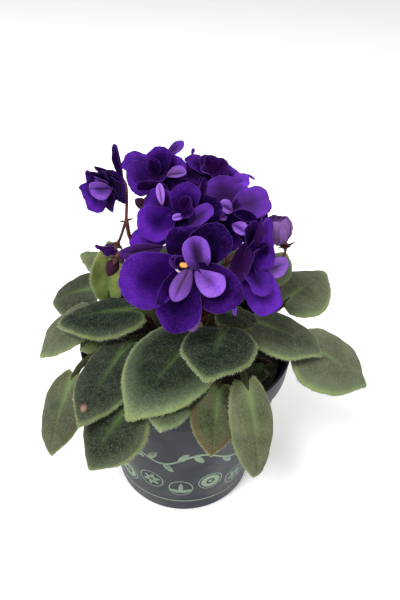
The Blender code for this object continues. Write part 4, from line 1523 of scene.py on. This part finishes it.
# %% Stalk finish
def stalk_finish():
    mix = Finish("red stalk", roughness=0.6, sheen=0.03, specular=0.10)
    cloud = mix.window(mix.grain(4 * MM, 4), 0.35, 0.65)
    mix.colour = mix.blend(cloud, (0.060, 0.016, 0.013), (0.120, 0.038, 0.024))
    leafy = mix.blend("tipward", (0.032, 0.012, 0.016), (0.070, 0.052, 0.028))
    mix.lay("sepal", leafy)
    mix.lay("hair", (0.36, 0.28, 0.25))
    mix.bump(mix.grain(0.5 * MM, 3), 0.3, 0.15 * MM)
    return mix.done()


red_stalk = stalk_finish()
for number, name in enumerate(STALKS):
    parts = stalk_parts(name, np.random.RandomState(40 + number))
    piece = make_piece(name.replace("flower_stalk", "flower_stalk_with_calyxes"), parts, red_stalk)
    stand_in(piece, "stalk_red", name)
print(len(STALKS), "flower stalks")

# %% [markdown]
# ## Floor and light
#
# A plain pale floor and soft light from above keep the eye on the plant. A large lamp in
# front and to the left gives the petals shape, a weaker one behind on the right picks out
# the leaf margins, and the pale surroundings fill the shadows.

# %% Floor and light
FLOOR_REACH = 6.0
LIT_PLACE = Vector((0, 0, 0.12))


def make_floor():
    signs = ((-1, -1), (1, -1), (1, 1), (-1, 1))
    corners = [(x * FLOOR_REACH, y * FLOOR_REACH, 0) for x, y in signs]
    mesh = bpy.data.meshes.new("floor")
    mesh.from_pydata(corners, [], [(0, 1, 2, 3)])
    mix = Finish("pale floor", roughness=0.7, specular=0.2)
    mix.colour = mix.blend(mix.grain(400 * MM, 1), (0.88, 0.88, 0.87), (0.92, 0.92, 0.915))
    mesh.materials.append(mix.done())
    floor = put_in_scene("floor", mesh)


def make_lamp(name, place, size, power):
    data = bpy.data.lights.new(name, "AREA")
    data.shape, data.size, data.energy = "DISK", size, power
    lamp = put_in_scene(name, data)
    lamp.location = place
    lamp.rotation_mode = "QUATERNION"
    lamp.rotation_quaternion = (LIT_PLACE - Vector(place)).to_track_quat("-Z", "Y")
    return lamp


def make_surroundings(strength):
    world = bpy.data.worlds.new("surroundings")
    world.use_nodes = True
    backdrop = world.node_tree.nodes["Background"]
    backdrop.inputs["Color"].default_value = (1.0, 1.0, 1.0, 1)
    backdrop.inputs["Strength"].default_value = strength
    bpy.context.scene.world = world


bpy.context.scene.view_settings.view_transform = "Standard"
make_floor()
key = make_lamp("key", place=(-0.9, -1.1, 2.1), size=0.9, power=62)
back = make_lamp("back", place=(0.45, 0.70, 0.75), size=0.5, power=4)
make_surroundings(strength=0.85)
print("lamps at", key.location, "and", back.location)
